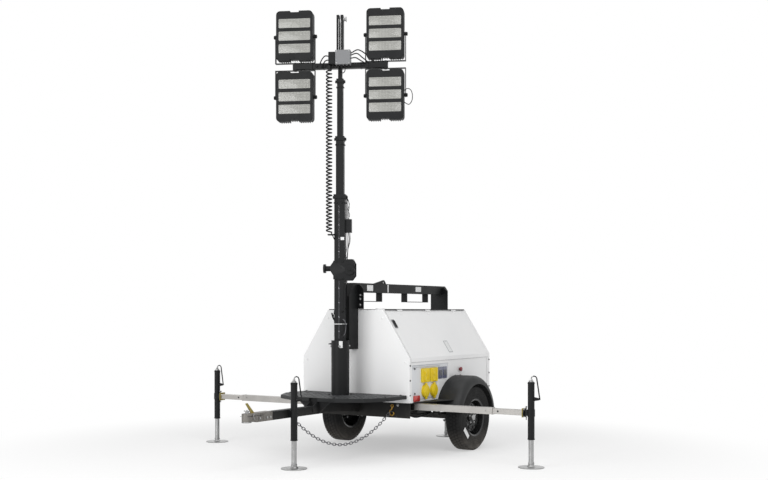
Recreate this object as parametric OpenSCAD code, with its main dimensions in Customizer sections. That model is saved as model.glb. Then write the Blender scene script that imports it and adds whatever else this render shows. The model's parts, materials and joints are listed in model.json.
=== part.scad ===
// Mobile light tower: a towed generator cabinet with a telescoping mast,
// four flood lamps, two telescoping outriggers and four screw jacks.
// Drawn about the wheel axle: X to the right, Y to the rear, Z up from the ground.

/* [Wheels] */
// Radius of a tyre
tyre_r = 310; // [290:1:325]
// Width of a tyre
tyre_w = 180; // [160:1:190]
// Distance between the wheel centres
track = 1419; // [1405:1:1440]
// Radius of the rim's bead seat
rim_r = 168; // [155:1:180]
// Radius of a wheel spindle
spindle_r = 20; // [16:1:26]
// Side of the square axle beam
axle_sq = 50; // [40:1:56]

/* [Cabinet] */
// Width of the cabinet over its side corners
cab_w = 1172; // [1160:1:1180]
// Distance of the front wall's face ahead of the axle
cab_front = 868; // [860:1:890]
// Distance of the rear wall's face behind the axle
cab_rear = 690; // [670:1:730]
// Height of the cabinet floor above the ground
floor_z = 496; // [490:1:502]
// Height of the crease between side panel and door
crease_z = 895; // [880:1:920]
// Height of the roof
roof_z = 1327; // [1300:1:1340]
// Width of the flat roof
roof_w = 610; // [560:1:660]
// Thickness of a wall with its lining
wall = 25; // [18:1:30]
// Thickness of a door
door_t = 20; // [14:1:24]
// Height of the lip that a door turns down over the side panel
lip_h = 37; // [30:1:45]
// Thickness of sheet metal
sheet = 3; // [2:0.5:4]
// Gap round a door
door_gap = 6; // [5:0.5:9]
// Length of one door hinge
hinge_l = 80; // [60:1:120]
// Radius of a hinge barrel
hinge_r = 6; // [5:0.5:7]

/* [Chassis] */
// Width of a side rail
rail_w = 50; // [40:1:60]
// Height of a side rail
rail_h = 100; // [80:1:110]
// Thickness of the floor plate
floor_t = 6; // [4:1:10]
// Height of the front cross plate
front_plate_h = 136; // [120:1:150]
// Distance of the outrigger line ahead of the axle
arm_line = 784; // [778:1:800]
// Side of the square tongue tube
tongue_sq = 70; // [60:1:76]
// Distance of the coupler's rear end ahead of the axle
coupler_y = 2116; // [2080:1:2160]
// Length of the coupler
coupler_l = 324; // [300:1:350]
// Radius of the coupler's ball socket
socket_r = 25.7; // [25:0.1:26]

/* [Platform] */
// Height of the platform above the cabinet floor
deck_rise = 70; // [64:1:80]
// Width of the platform
deck_w = 1120; // [1000:1:1160]
// Distance of the platform's front edge ahead of the axle
deck_front = 1510; // [1480:1:1560]
// Depth of the platform's turned-down edge
deck_edge = 33; // [25:1:45]
// Thickness of the tread plate
deck_t = 5; // [4:0.5:8]

/* [Outriggers] */
// Side of the outer outrigger tube
arm_sq = 57; // [54:1:60]
// Wall of the outrigger tubes
arm_wall = 4; // [3:0.5:5]
// Distance of the outer tube's outer end from the centre line
arm_reach = 1360; // [1300:1:1400]
// Distance of an outrigger jack from the centre line
jack_x = 1710; // [1680:1:1740]
// Travel of an outer tube
arm_travel = 580; // [500:1:590]
// Travel of an inner tube
arm_in_travel = 220; // [180:1:230]

/* [Jacks] */
// Radius of a jack's body
jack_r = 28.5; // [27:0.5:32]
// Radius of a jack's leg
leg_r = 22; // [18:0.5:23]
// Height of the lower end of a jack's body
jack_low = 235; // [225:1:260]
// Height of the upper end of a jack's body
jack_high = 720; // [690:1:760]
// Radius of a foot pad
pad_r = 110; // [90:1:118]
// Thickness of a foot pad
pad_t = 8; // [6:1:12]
// Upward travel of a jack's leg
jack_up = 180; // [120:1:185]
// Distance of the tongue jack ahead of the axle
tongue_jack_y = 1879; // [1840:1:1920]
// Distance of the rear jack behind the axle
rear_jack_y = 850; // [830:1:880]

/* [Mast] */
// Distance of the mast ahead of the axle
mast_y = 1100; // [1095:1:1104]
// Radius of the round mast post
post_r = 81; // [79:1:90]
// Wall of the round mast post
post_wall = 8; // [6:0.5:8]
// Height of the mast post's top
post_top = 1052; // [1030:1:1070]
// Turn of the mast about its own axis
mast_turn = 26; // [0:1:40]
// Height of the top of stage 1
stage_1_top = 2362; // [2340:1:2370]
// Height of the top of stage 2
stage_2_top = 2884; // [2870:1:2900]
// Height of the top of stage 3
stage_3_top = 3401; // [3390:1:3410]
// Height of the lamp bar's middle
bar_z = 3518; // [3510:1:3530]
// Height of the top post
mast_top = 3972; // [3900:1:4000]
// Height of a stage's collar
collar_h = 40; // [30:1:44]
// Height of a stage's foot
foot_h = 60; // [40:1:70]

/* [Lamps] */
// Width of a flood lamp
lamp_w = 335; // [300:1:345]
// Height of a flood lamp
lamp_h = 450; // [420:1:460]
// Depth of a flood lamp
lamp_d = 96; // [80:1:110]
// Distance of a lamp's pan axis from the mast
lamp_x = 410; // [400:1:430]
// Distance of a lamp's tilt axis from the bar's middle
lamp_arm = 273; // [270:1:284]
// Side of the lamp bar
bar_sq = 50; // [40:1:54]
// Thickness of a yoke's strap
yoke_t = 5; // [4:0.5:7]
// Width of a yoke's strap
yoke_w = 40; // [30:1:50]

/* [Lifting frame] */
// Width of the lifting beam
beam_w = 75; // [65:1:95]
// Height of the lifting beam
beam_h = 86; // [80:1:90]
// Height of the lifting beam's top
beam_top = 1574; // [1560:1:1576]
// Height of the lower end of a lifting leg
lift_low = 970; // [900:1:1040]
// Half the width of a mounting flange of the lifting frame
flange_w = 100; // [80:1:120]
// Thickness of a mounting flange
flange_t = 8; // [6:1:10]
// Width of a fork pocket
pocket_w = 395; // [340:1:400]
// Height of a fork pocket
pocket_h = 78; // [70:1:84]
// Distance between the fork pockets' centres
pocket_pitch = 862; // [820:1:880]

/* [Hidden] */
$fn = 48;

black = [0.07, 0.07, 0.075];
white = [0.86, 0.87, 0.87];
zinc = [0.68, 0.68, 0.66];
rubber = [0.05, 0.05, 0.05];
grey = [0.5, 0.51, 0.52];
red = [0.7, 0.08, 0.06];

// Running clearance of one tube in another, each side
slip = 0.5;
// Clearance of the mast's pads and of the mast in its post
pad_slip = 0.3;
// Clearance of a pin in its bore
pin_slip = 0.1;

// The model's origin is on the ground below the middle of its length
nose_y = coupler_y + coupler_l;
tail_y = rear_jack_y + pad_r;
origin_y = (nose_y - tail_y) / 2;

// Chassis heights
half_w = cab_w / 2;
sleeve_t = 6;
sleeve_sq = arm_sq + 2 * slip + 2 * sleeve_t;
arm_z = floor_z - sleeve_sq / 2 - 1;
arm_in_sq = arm_sq - 2 * arm_wall - 2 * slip;
arm_grip = 226;
arm_in_l = 740;
arm_flange = 77;
arm_pin_r = 5;
rail_low = floor_z - rail_h;
side_out = half_w - sheet - 5;
rail_out = side_out;
housing_front = arm_line + sleeve_sq;
housing_rear = arm_line - sleeve_sq;
front_plate_t = 8;
plate_front = housing_front + front_plate_t;

// Wheels and springs
wheel_x = track / 2;
axle_top = tyre_r + axle_sq / 2;
leaf_w = 44;
leaf_x = rail_out - rail_w / 2;
leaf_half = 330;
leaf_t = 16;
leaf_rise = 26;
eye_r = 13;
bolt_r = 6;

// Platform and mast
deck_z = floor_z + deck_rise;
post_bore = post_r - post_wall;
stage_sq = [95, 70, 52, 36];
stage_wall = [4, 3.5, 3, 3];
base_t = 12;
stage_l = [0, 1780, 1750, 1443];
stage_top = [stage_1_top, stage_2_top, stage_3_top, bar_z - bar_sq / 2];
stage_low = [floor_z - 1 + base_t + pad_slip, for (i = [1:3]) stage_top[i] - stage_l[i]];

// Coiled cable beside the mast, in the mast's own frame
cable_xy = [-88, -84];
cable_r = 30;
cable_low = stage_1_top - 358;
cable_high = bar_z - 50;
cable_seat = 12;

// Door plane, from the roof edge to the crease
slope_run = half_w - roof_w / 2;
slope_drop = roof_z - crease_z;
slope_a = atan2(slope_drop, slope_run);
hinge_out = 11;
hinge_drop = 5;
hinge_x = roof_w / 2 + hinge_out;
hinge_z = roof_z - hinge_drop;
hinge_pin_r = 3;
hinge_ys = [-cab_front + 268, -(cab_front - cab_rear) / 2, cab_rear - 268];
side_top = crease_z - lip_h + 3;

// Outlet panel in the right side panel, as distances from the cabinet's front face
outlet_y = [53, 523, 718];
outlet_z = [16, 184, 332];

// Jacks: name, x, y
JACKS = [
    ["left", -jack_x, -arm_line - sleeve_sq / 2],
    ["right", jack_x, -arm_line + sleeve_sq / 2],
    ["tongue", tongue_sq / 2 + 12 + jack_r, -tongue_jack_y],
    ["rear", 0, rear_jack_y]
];

// Yokes: inner half width, and the pads they turn on
lamp_side = lamp_w / 2;
yoke_in = lamp_side + 10;
pan_pad = 5;

// Lamps: name, side, up or down
LAMPS = [
    ["upper_left", -1, 1],
    ["upper_right", 1, 1],
    ["lower_left", -1, -1],
    ["lower_right", 1, -1]
];

// Rounded rectangle, w by h, corner radius r
module rounded_rect(w, h, r) {
    hull() {
        for (x = [-1, 1], y = [-1, 1])
            translate([x * (w / 2 - r), y * (h / 2 - r)]) circle(r, $fn = 24);
    }
}

// Box between two corners
module box(a, b) {
    translate(a) cube(b - a);
}

// Upright square tube, centred on Z
module square_tube(side, t, low, high) {
    difference() {
        translate([-side / 2, -side / 2, low]) cube([side, side, high - low]);
        translate([-side / 2 + t, -side / 2 + t, low - 1]) cube([side - 2 * t, side - 2 * t, high - low + 2]);
    }
}

// Tube along X with a square opening, from x0 to x1, at y, z
module x_tube(side, t, x0, x1, y, z) {
    translate([x0, y, z]) difference() {
        translate([0, -side / 2, -side / 2]) cube([x1 - x0, side, side]);
        translate([-1, -side / 2 + t, -side / 2 + t]) cube([x1 - x0 + 2, side - 2 * t, side - 2 * t]);
    }
}

// Outline in Y and Z, drawn as (y, z), extruded along X from x0 to x1
module along_x(x0, x1) {
    translate([x0, 0, 0]) rotate([90, 0, 90]) linear_extrude(x1 - x0) children();
}

// Outline in X and Z, drawn as (x, z), extruded along Y from y0 to y1
module along_y(y0, y1) {
    translate([0, y1, 0]) rotate([90, 0, 0]) linear_extrude(y1 - y0) children();
}

// Cylinder along X
module x_rod(r, x0, x1, y, z) {
    translate([x0, y, z]) rotate([0, 90, 0]) cylinder(r = r, h = x1 - x0);
}

// Cylinder along Y
module y_rod(r, y0, y1, x, z) {
    translate([x, y0, z]) rotate([-90, 0, 0]) cylinder(r = r, h = y1 - y0);
}

// Chassis

module frame() {
    color(black) {
        difference() {
            union() {
                for (s = [-1, 1]) translate([s * leaf_x, 0, 0])
                    box([-rail_w / 2, -housing_rear - 1, rail_low], [rail_w / 2, cab_rear, floor_z]);
                box([-rail_out, -housing_front, floor_z - floor_t], [rail_out, cab_rear, floor_z]);
                box([-half_w, -plate_front, floor_z - front_plate_h], [half_w, -housing_front + 1, floor_z]);
                box([-rail_out, cab_rear - rail_w, rail_low], [rail_out, cab_rear, floor_z]);
                for (s = [-1, 1]) box([-half_w, -arm_line + s * sleeve_sq / 2 - sleeve_sq / 2, arm_z - sleeve_sq / 2],
                    [half_w, -arm_line + s * sleeve_sq / 2 + sleeve_sq / 2, arm_z + sleeve_sq / 2]);
                for (s = [-1, 1], e = [-1, 1]) spring_hanger(s, e);
                box([-rail_w / 2, cab_rear - 1, arm_z - 25], [rail_w / 2, rear_jack_y - jack_r - 8, arm_z + 25]);
            }
            for (s = [-1, 1])
                x_tube_void(arm_sq + 2 * slip, -half_w - 1, half_w + 1, -arm_line + s * sleeve_sq / 2, arm_z);
            for (s = [-1, 1], e = [-1, 1])
                x_rod(bolt_r + slip, s * leaf_x - rail_w, s * leaf_x + rail_w, e * leaf_half, spring_eye_z());
        }
    }
}

module x_tube_void(side, x0, x1, y, z) {
    box([x0, y - side / 2, z - side / 2], [x1, y + side / 2, z + side / 2]);
}

function spring_eye_z() = axle_top + leaf_rise + leaf_t / 2;

// Two ears that hold one end of a leaf spring
module spring_hanger(s, e) {
    for (k = [-1, 1])
        box([s * leaf_x + k * (leaf_w / 2 + slip + 2.5) - 2.5, e * leaf_half - 22, spring_eye_z() - 18],
            [s * leaf_x + k * (leaf_w / 2 + slip + 2.5) + 2.5, e * leaf_half + 22, rail_low + 1]);
}

// Axle beam, spindles and the leaf springs on it
module axle() {
    color(black) {
        box([-wheel_x + 110, -axle_sq / 2, tyre_r - axle_sq / 2], [wheel_x - 110, axle_sq / 2, axle_top]);
        for (s = [-1, 1]) {
            x_rod(spindle_r + 8, min(s * (wheel_x - 111), s * (wheel_x - 72)), max(s * (wheel_x - 111), s * (wheel_x - 72)), 0, tyre_r);
            x_rod(spindle_r, min(s * (wheel_x - 80), s * (wheel_x + 20)), max(s * (wheel_x - 80), s * (wheel_x + 20)), 0, tyre_r);
            translate([s * leaf_x, 0, 0]) leaf_spring();
        }
    }
}

// Height of a leaf's underside at y
function leaf_z(y) = axle_top - 1 + leaf_rise * pow(y / leaf_half, 2);

module leaf_spring() {
    steps = 12;
    ys = [for (i = [0:steps]) -leaf_half + 2 * leaf_half * i / steps];
    along_x(-leaf_w / 2, leaf_w / 2)
        polygon(concat([for (y = ys) [y, leaf_z(y)]],
            [for (i = [steps:-1:0]) [ys[i], leaf_z(ys[i]) + leaf_t + 10 * (1 - pow(ys[i] / leaf_half, 2))]]));
    for (e = [-1, 1]) {
        x_rod(eye_r, -leaf_w / 2, leaf_w / 2, e * leaf_half, spring_eye_z());
        x_rod(bolt_r, -leaf_w / 2 - 12, leaf_w / 2 + 12, e * leaf_half, spring_eye_z());
    }
    for (e = [-1, 1])
        box([-leaf_w / 2 - 7, e * (axle_sq / 2 + 7) - 6, axle_top - axle_sq - 8],
            [leaf_w / 2 + 7, e * (axle_sq / 2 + 7) + 6, axle_top + leaf_t + 16]);
}

// Central tongue tube with its gusset plates
module tongue() {
    low = arm_z - tongue_sq / 2;
    high = arm_z + tongue_sq / 2;
    color(black) {
        box([-tongue_sq / 2, -coupler_y, low], [tongue_sq / 2, -plate_front, high]);
        difference() {
            for (s = [-1, 1]) along_x(min(s * tongue_sq / 2, s * (tongue_sq / 2 + 8)), max(s * tongue_sq / 2, s * (tongue_sq / 2 + 8)))
                polygon([[-plate_front, low - 30], [-plate_front, floor_z], [-cab_front, floor_z], [-cab_front, deck_z - deck_t],
                    [-deck_front + 60, deck_z - deck_t],
                    [-deck_front - 60, high], [-deck_front - 60, low + 20], [-plate_front - 320, low]]);
            translate([0, -mast_y, high]) cylinder(r = post_r + pad_slip, h = deck_rise);
        }
        along_y(-deck_front + 20, -deck_front + 28)
            polygon([[-40, low], [40, low], [200, deck_z - deck_t], [-200, deck_z - deck_t]]);
    }
}

// Cast coupler with its ball socket and latch lever
module coupler() {
    ball_y = -nose_y + 36;
    low = arm_z - tongue_sq / 2;
    high = arm_z + tongue_sq / 2;
    color(zinc) {
        difference() {
            union() {
                box([-tongue_sq / 2 - 3, -coupler_y - 200, low], [tongue_sq / 2 + 3, -coupler_y, high + 4]);
                hull() {
                    box([-tongue_sq / 2 - 3, -coupler_y - 202, low + 10], [tongue_sq / 2 + 3, -coupler_y - 199, high + 4]);
                    translate([0, ball_y, low + 10]) cylinder(r = 36, h = tongue_sq - 6, $fn = 32);
                }
            }
            translate([0, ball_y, low - 1]) cylinder(r = socket_r, h = tongue_sq - 12);
        }
        along_x(-6, 6) polygon([[-coupler_y - 190, high + 3], [-coupler_y - 230, high + 3],
            [-coupler_y - 296, high + 84], [-coupler_y - 276, high + 88]]);
    }
}

// Platform outline from above
function deck_outline(inset) = [
    [deck_w / 2 - inset, -plate_front - 12 - inset], [deck_w / 2 - inset, -deck_front + 330],
    [deck_w / 2 - 110 - inset, -deck_front + 120], [230 - inset / 2, -deck_front + inset],
    [-230 + inset / 2, -deck_front + inset], [-deck_w / 2 + 110 + inset, -deck_front + 120],
    [-deck_w / 2 + inset, -deck_front + 330], [-deck_w / 2 + inset, -plate_front - 12 - inset]
];

module platform() {
    color(black) difference() {
        translate([0, 0, deck_z - deck_edge]) linear_extrude(deck_edge) polygon(deck_outline(0));
        translate([0, 0, deck_z - deck_edge - 1]) linear_extrude(deck_edge - deck_t + 1) polygon(deck_outline(5));
        translate([0, -mast_y, 0]) cylinder(r = post_r + 1, h = deck_z + 10);
        box([-tongue_sq / 2 - 9, -deck_front - 10, deck_z - deck_edge - 2], [tongue_sq / 2 + 9, -plate_front, deck_z - deck_t]);
        box([-201, -deck_front + 19, deck_z - deck_edge - 2], [201, -deck_front + 29, deck_z - deck_t]);
    }
}

// Outriggers

module arm_outer(s) {
    x0 = half_w - arm_grip;
    color(zinc) mirror([s < 0 ? 1 : 0, 0, 0]) difference() {
        x_tube(arm_sq, arm_wall, x0, arm_reach, -arm_line + s * sleeve_sq / 2, arm_z);
        translate([arm_reach - 60, -arm_line + s * sleeve_sq / 2 - arm_sq, arm_z]) rotate([-90, 0, 0]) cylinder(r = 8, h = 2 * arm_sq);
    }
}

arm_in_end = jack_x - jack_r - 42;

module arm_inner(s) {
    y = -arm_line + s * sleeve_sq / 2;
    color(zinc) mirror([s < 0 ? 1 : 0, 0, 0]) {
        x_tube(arm_in_sq, arm_wall, arm_in_end - arm_in_l, arm_in_end, y, arm_z);
        box([arm_in_end - 0.5, y - arm_flange / 2, arm_z - arm_flange / 2], [arm_in_end + 8, y + arm_flange / 2, arm_z + arm_flange / 2]);
        x_rod(14, arm_in_end + 7, arm_in_end + 30, y, arm_z);
    }
}

// Bracket that swings a jack on the end of its arm
module jack_swivel(x_mount, x_jack) {
    difference() {
        union() {
            x_rod(38, x_mount, x_mount + 10, 0, arm_z);
            box([x_mount + 9, -20, arm_z - 24], [x_jack, 20, arm_z + 24]);
            translate([x_mount + 17, 0, arm_z - 60]) cylinder(r = arm_pin_r, h = 38);
            translate([x_mount + 17, 0, arm_z + 22]) cylinder(r = arm_pin_r, h = 34);
            y_rod(4, -16, 16, x_mount + 17, arm_z + 50);
        }
        x_rod(14 + slip, x_mount - 1, x_mount + 24, 0, arm_z);
    }
}

module jack_body(i) {
    x = JACKS[i][1];
    y = JACKS[i][2];
    side = x < -1 ? 1 : 0;
    color(black) translate([0, y, 0]) mirror([side, 0, 0]) difference() {
        union() {
            translate([abs(x), 0, jack_low]) cylinder(r = jack_r, h = jack_high - jack_low);
            translate([abs(x), 0, arm_z - 30]) cylinder(r = jack_r + 4, h = 60);
            if (i < 2) jack_swivel(arm_in_end + 8 + slip, jack_x);
            if (i == 2) box([tongue_sq / 2, -30, arm_z - 30], [x, 30, arm_z + 30]);
            if (i == 3) box([-25, -jack_r - 8, arm_z - 25], [25, 0, arm_z + 25]);
            mirror([side, 0, 0]) translate([x, 0, 0]) crank();
        }
        translate([abs(x), 0, jack_low - 1]) cylinder(r = leg_r + 0.4, h = jack_high - jack_low - 12);
    }
}

// Crank on a jack's top: cap, bent rod and a hand grip that points back at the body
crank_out = 80;
crank_drop = 165;
crank_rise = 34;
crank_bend = 26;

module crank() {
    top = jack_high + crank_rise;
    lean = atan2(crank_out - 2 * crank_bend, crank_rise + crank_drop - crank_bend);
    rod_l = (crank_rise + crank_drop - crank_bend) / cos(lean);
    translate([0, 0, jack_high - 1]) cylinder(r = 20, h = 14);
    translate([0, 0, jack_high + 12]) cylinder(r = 12, h = 14, $fn = 6);
    translate([crank_bend, 0, jack_high + 24]) rotate([90, 0, 0]) rotate_extrude(angle = 180) translate([crank_bend, 0]) circle(5, $fn = 16);
    translate([2 * crank_bend - 0.5, 0, jack_high + 27]) rotate([0, 180 - lean, 0]) cylinder(r = 5.5, h = rod_l, $fn = 16);
    x_rod(6, crank_out - 14, crank_out + 2, 0, jack_high + 27 - rod_l * cos(lean) + 4);
    translate([crank_out - 6, 0, jack_high + 27 - rod_l * cos(lean) + 4]) rotate([0, -90, 0]) cylinder(r1 = 9, r2 = 17, h = crank_out - 6 - jack_r - 1);
}

module jack_leg(i) {
    color(zinc) translate([JACKS[i][1], JACKS[i][2], 0]) {
        cylinder(r = leg_r, h = jack_high - jack_up - 20);
        cylinder(r = pad_r, h = pad_t);
        translate([0, 0, pad_t - 1]) cylinder(r1 = leg_r + 16, r2 = leg_r, h = 16);
    }
}

// Wheels

module tyre(s) {
    h = tyre_w / 2;
    color(rubber) translate([s * wheel_x, 0, tyre_r]) rotate([0, 90, 0]) rotate_extrude()
        polygon([[rim_r, -h + 22], [rim_r + 12, -h + 16], [rim_r + 40, -h + 3], [rim_r + 68, -h], [tyre_r - 40, -h + 3],
            [tyre_r - 14, -h + 14], [tyre_r - 4, -h + 26], [tyre_r, -h + 40], [tyre_r, h - 40], [tyre_r - 4, h - 26],
            [tyre_r - 14, h - 14], [tyre_r - 40, h - 3], [rim_r + 68, h], [rim_r + 40, h - 3], [rim_r + 12, h - 16],
            [rim_r, h - 22], [rim_r, h - 30], [rim_r + 24, h - 40], [rim_r + 24, -h + 40], [rim_r, -h + 30]]);
}

module rim(s) {
    h = tyre_w / 2;
    seat = rim_r - pad_slip;
    color(black) translate([s * wheel_x, 0, tyre_r]) rotate([0, s * 90, 0]) difference() {
        union() {
            rotate_extrude() polygon([[seat, -h + 21], [seat + 10, -h + 14], [seat + 10, -h + 10], [seat - 6, -h + 16],
                [seat - 6, h - 16], [seat + 10, h - 10], [seat + 10, h - 14], [seat, h - 21]]);
            rotate_extrude() polygon([[0, 4], [60, 4], [90, 26], [seat - 40, 26], [seat - 5, 0], [seat - 5, 12],
                [seat - 36, 34], [84, 34], [56, 12], [42, 12], [42, 34], [34, 40], [0, 40]]);
            translate([0, 0, -60]) cylinder(r = spindle_r + 18, h = 66);
        }
        translate([0, 0, -61]) cylinder(r = spindle_r + pad_slip, h = 86);
        for (a = [0:45:315]) rotate([0, 0, a]) translate([seat - 52, 0, 0]) cylinder(r = 13, h = 60, $fn = 16);
    }
}

// Moulded mudguard, part of a turn about the wheel's axis, with a flat foot ahead of it
foot_t = 4;
foot_front = 55;

module fender(s) {
    r = tyre_r + 85;
    out = wheel_x + tyre_w / 2 + 20;
    round_r = 70;
    t = 5;
    arc = [for (a = [0:15:90]) [r - round_r + round_r * cos(a), out - round_r + round_r * sin(a)]];
    arc_in = [for (a = [90:-15:0]) [r - round_r + (round_r - t) * cos(a), out - round_r + (round_r - t) * sin(a)]];
    color(black) mirror([s < 0 ? 1 : 0, 0, 0]) translate([0, 0, tyre_r]) rotate([0, 90, 0])
        rotate([0, 0, 100]) rotate_extrude(angle = 155)
            polygon(concat([[r - t, side_out], [r, side_out]], arc, [[r - round_r - 7, out], [r - round_r - 7, out - t]], arc_in));
    foot_y = -sqrt(r * r - pow(floor_z + foot_t / 2 - tyre_r, 2));
    color(black) mirror([s < 0 ? 1 : 0, 0, 0]) translate([0, 0, floor_z]) linear_extrude(foot_t)
        polygon([[side_out, -cab_front + foot_front], [side_out + 14, -cab_front + foot_front], [out - round_r, foot_y + 4], [side_out, foot_y + 4]]);
}

// Cabinet

function house() = [
    [-half_w, floor_z], [half_w, floor_z], [half_w, crease_z], [roof_w / 2, roof_z],
    [-roof_w / 2, roof_z], [-half_w, crease_z]
];

// End wall with the flanges that wrap the cabinet's corners
module end_wall(y0, y1, flange) {
    color(white) {
        along_y(y0, y1) polygon(house());
        for (s = [-1, 1])
            box([min(s * side_out, s * half_w), min(flange, y0), floor_z],
                [max(s * side_out, s * half_w), max(flange, y1), side_top - 8]);
    }
}

module cabinet_front() end_wall(-cab_front, -cab_front + wall, -cab_front + wall + 20);

module cabinet_rear() end_wall(cab_rear - wall, cab_rear, cab_rear - wall - 20);

module side_panel() {
    box([side_out - wall, -cab_front + wall, floor_z], [side_out, cab_rear - wall, side_top]);
}

module outlet_opening(grow, x0, x1) {
    box([x0, -cab_front + outlet_y[0] - grow, floor_z + outlet_z[0] - grow],
        [x1, -cab_front + outlet_y[1] + grow, floor_z + outlet_z[2] + grow]);
    box([x0, -cab_front + outlet_y[1] - grow - 1, floor_z + outlet_z[1] - grow],
        [x1, -cab_front + outlet_y[2] + grow, floor_z + outlet_z[2] + grow]);
}

module cabinet_side_left() color(white) mirror([1, 0, 0]) side_panel();

module cabinet_side_right() {
    color(white) difference() {
        side_panel();
        outlet_opening(0, side_out - wall - 1, side_out + 1);
    }
}

// Recessed panel with its sockets and breaker windows
module outlet_panel() {
    face = side_out - 6;
    y0 = -cab_front;
    color(grey) {
        outlet_opening(10, side_out - wall - 5, side_out - wall);
        outlet_opening(-1, side_out - wall - 1, face);
        for (i = [0, 1]) {
            y = y0 + 290 + i * 152;
            translate([face - 1, y, floor_z + 236]) rotate([90, 0, 90]) linear_extrude(16) rounded_rect(132, 128, 10);
            translate([face - 1, y, floor_z + 92]) rotate([90, 0, 90]) cylinder(r = 60, h = 20);
            translate([face - 1, y0 + 573 + i * 84, floor_z + 246]) rotate([90, 0, 90]) linear_extrude(8) rounded_rect(70, 108, 6);
        }
        box([face - 1, y0 + 62, floor_z + outlet_z[2] - 12], [side_out + 12, y0 + 560, floor_z + outlet_z[2] - 8]);
    }
}

// Filler cap on the roof
cap_x = 200;
cap_y = 120;
cap_r = 45;
cap_h = 14;

module roof() {
    color(white) {
        box([-roof_w / 2, -cab_front + wall, roof_z - wall], [roof_w / 2, cab_rear - wall, roof_z]);
        translate([cap_x, -cab_front + cap_y, roof_z - 1]) cylinder(r = cap_r, h = cap_h + 1);
        for (s = [-1, 1], y = hinge_ys) mirror([s < 0 ? 1 : 0, 0, 0]) {
            for (e = [-1, 1]) {
                a = y + e * hinge_l / 3 - hinge_l / 6;
                y_rod(hinge_r, a, a + hinge_l / 3, hinge_x, hinge_z);
                box([roof_w / 2 - 30, a, roof_z - 1], [hinge_x, a + hinge_l / 3, roof_z + 3]);
            }
            y_rod(hinge_pin_r, y - hinge_l / 2 + 1, y + hinge_l / 2 - 1, hinge_x, hinge_z);
        }
    }
}

// Point on the door's outer plane at s along the slope and n out of it
function slope_at(s, n) = [
    roof_w / 2 + s * cos(slope_a) + n * sin(slope_a),
    roof_z - s * sin(slope_a) + n * cos(slope_a)
];
hinge_s = hinge_out * cos(slope_a) + hinge_drop * sin(slope_a);
hinge_n = hinge_out * sin(slope_a) - hinge_drop * cos(slope_a);

module door() {
    top = hinge_s + 17;
    skin_top = hinge_s + 4;
    lip_in = half_w - sheet;
    lip_in_s = (lip_in - roof_w / 2 + door_t * sin(slope_a)) / cos(slope_a);
    inner = slope_at(lip_in_s, -door_t);
    y0 = -cab_front + wall + door_gap;
    y1 = cab_rear - wall - door_gap;
    difference() {
        union() {
            along_y(y0, y1) polygon([slope_at(skin_top, 0), [half_w, crease_z], [half_w, crease_z - lip_h],
                [lip_in, crease_z - lip_h], inner, slope_at(top, -door_t), slope_at(top, -sheet), slope_at(skin_top, -sheet)]);
            for (y = hinge_ys) {
                a = y - hinge_l / 6 + 0.5;
                b = y + hinge_l / 6 - 0.5;
                y_rod(hinge_r, a, b, hinge_x, hinge_z);
                along_y(a, b) polygon([slope_at(hinge_s, -0.5), slope_at(hinge_s + 45, -0.5),
                    slope_at(hinge_s + 45, 3), slope_at(hinge_s, 3)]);
            }
        }
        for (y = hinge_ys) y_rod(hinge_pin_r + pin_slip, y - hinge_l, y + hinge_l, hinge_x, hinge_z);
    }
}

module door_left() color(white) mirror([1, 0, 0]) door();

module door_right() color(white) door();

// Engine and alternator as one block on the floor, clear of the walls
engine_side = 366;
engine_front = 448;
engine_rear = 230;
engine_h = 500;

module engine_block() color(grey) box([engine_side - half_w, engine_front - cab_front, floor_z], [half_w - engine_side, cab_rear - engine_rear, floor_z + engine_h]);

module road_lamps() {
    color(red) {
        for (s = [-1, 1]) {
            box([s * 480 - 60, cab_rear, rail_low + 20], [s * 480 + 60, cab_rear + 30, rail_low + 80]);
            translate([s > 0 ? half_w : -half_w - 14, -cab_front + 5, floor_z + 2]) cube([14, 36, 60]);
        }
    }
}

// Safety chain: a run of flat links between the tongue and the front plate
chain_a = [0, -1800, arm_z - tongue_sq / 2 - 8.4];
chain_b = [385, -plate_front - 12.4, arm_z - 50];
chain_sag = 262;
chain_n = 41;

function chain_at(t) = chain_a + t * (chain_b - chain_a) - [0, 0, 4 * chain_sag * t * (1 - t)];

module safety_chain() {
    color(zinc) for (i = [0:chain_n - 1]) {
        a = chain_at(i / chain_n);
        b = chain_at((i + 1) / chain_n);
        d = b - a;
        l = norm(d);
        translate((a + b) / 2) rotate([0, -atan2(d[2], norm([d[0], d[1]])), atan2(d[1], d[0])]) rotate([90 * (i % 2), 0, 0])
            translate([0, 0, -3.5]) linear_extrude(7) difference() {
                square([l + 15.5, 25], center = true);
                square([l - 0.5, 11], center = true);
            }
    }
}

// Lifting frame with its fork pockets and lifting eye

pocket_mid = -230;

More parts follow.
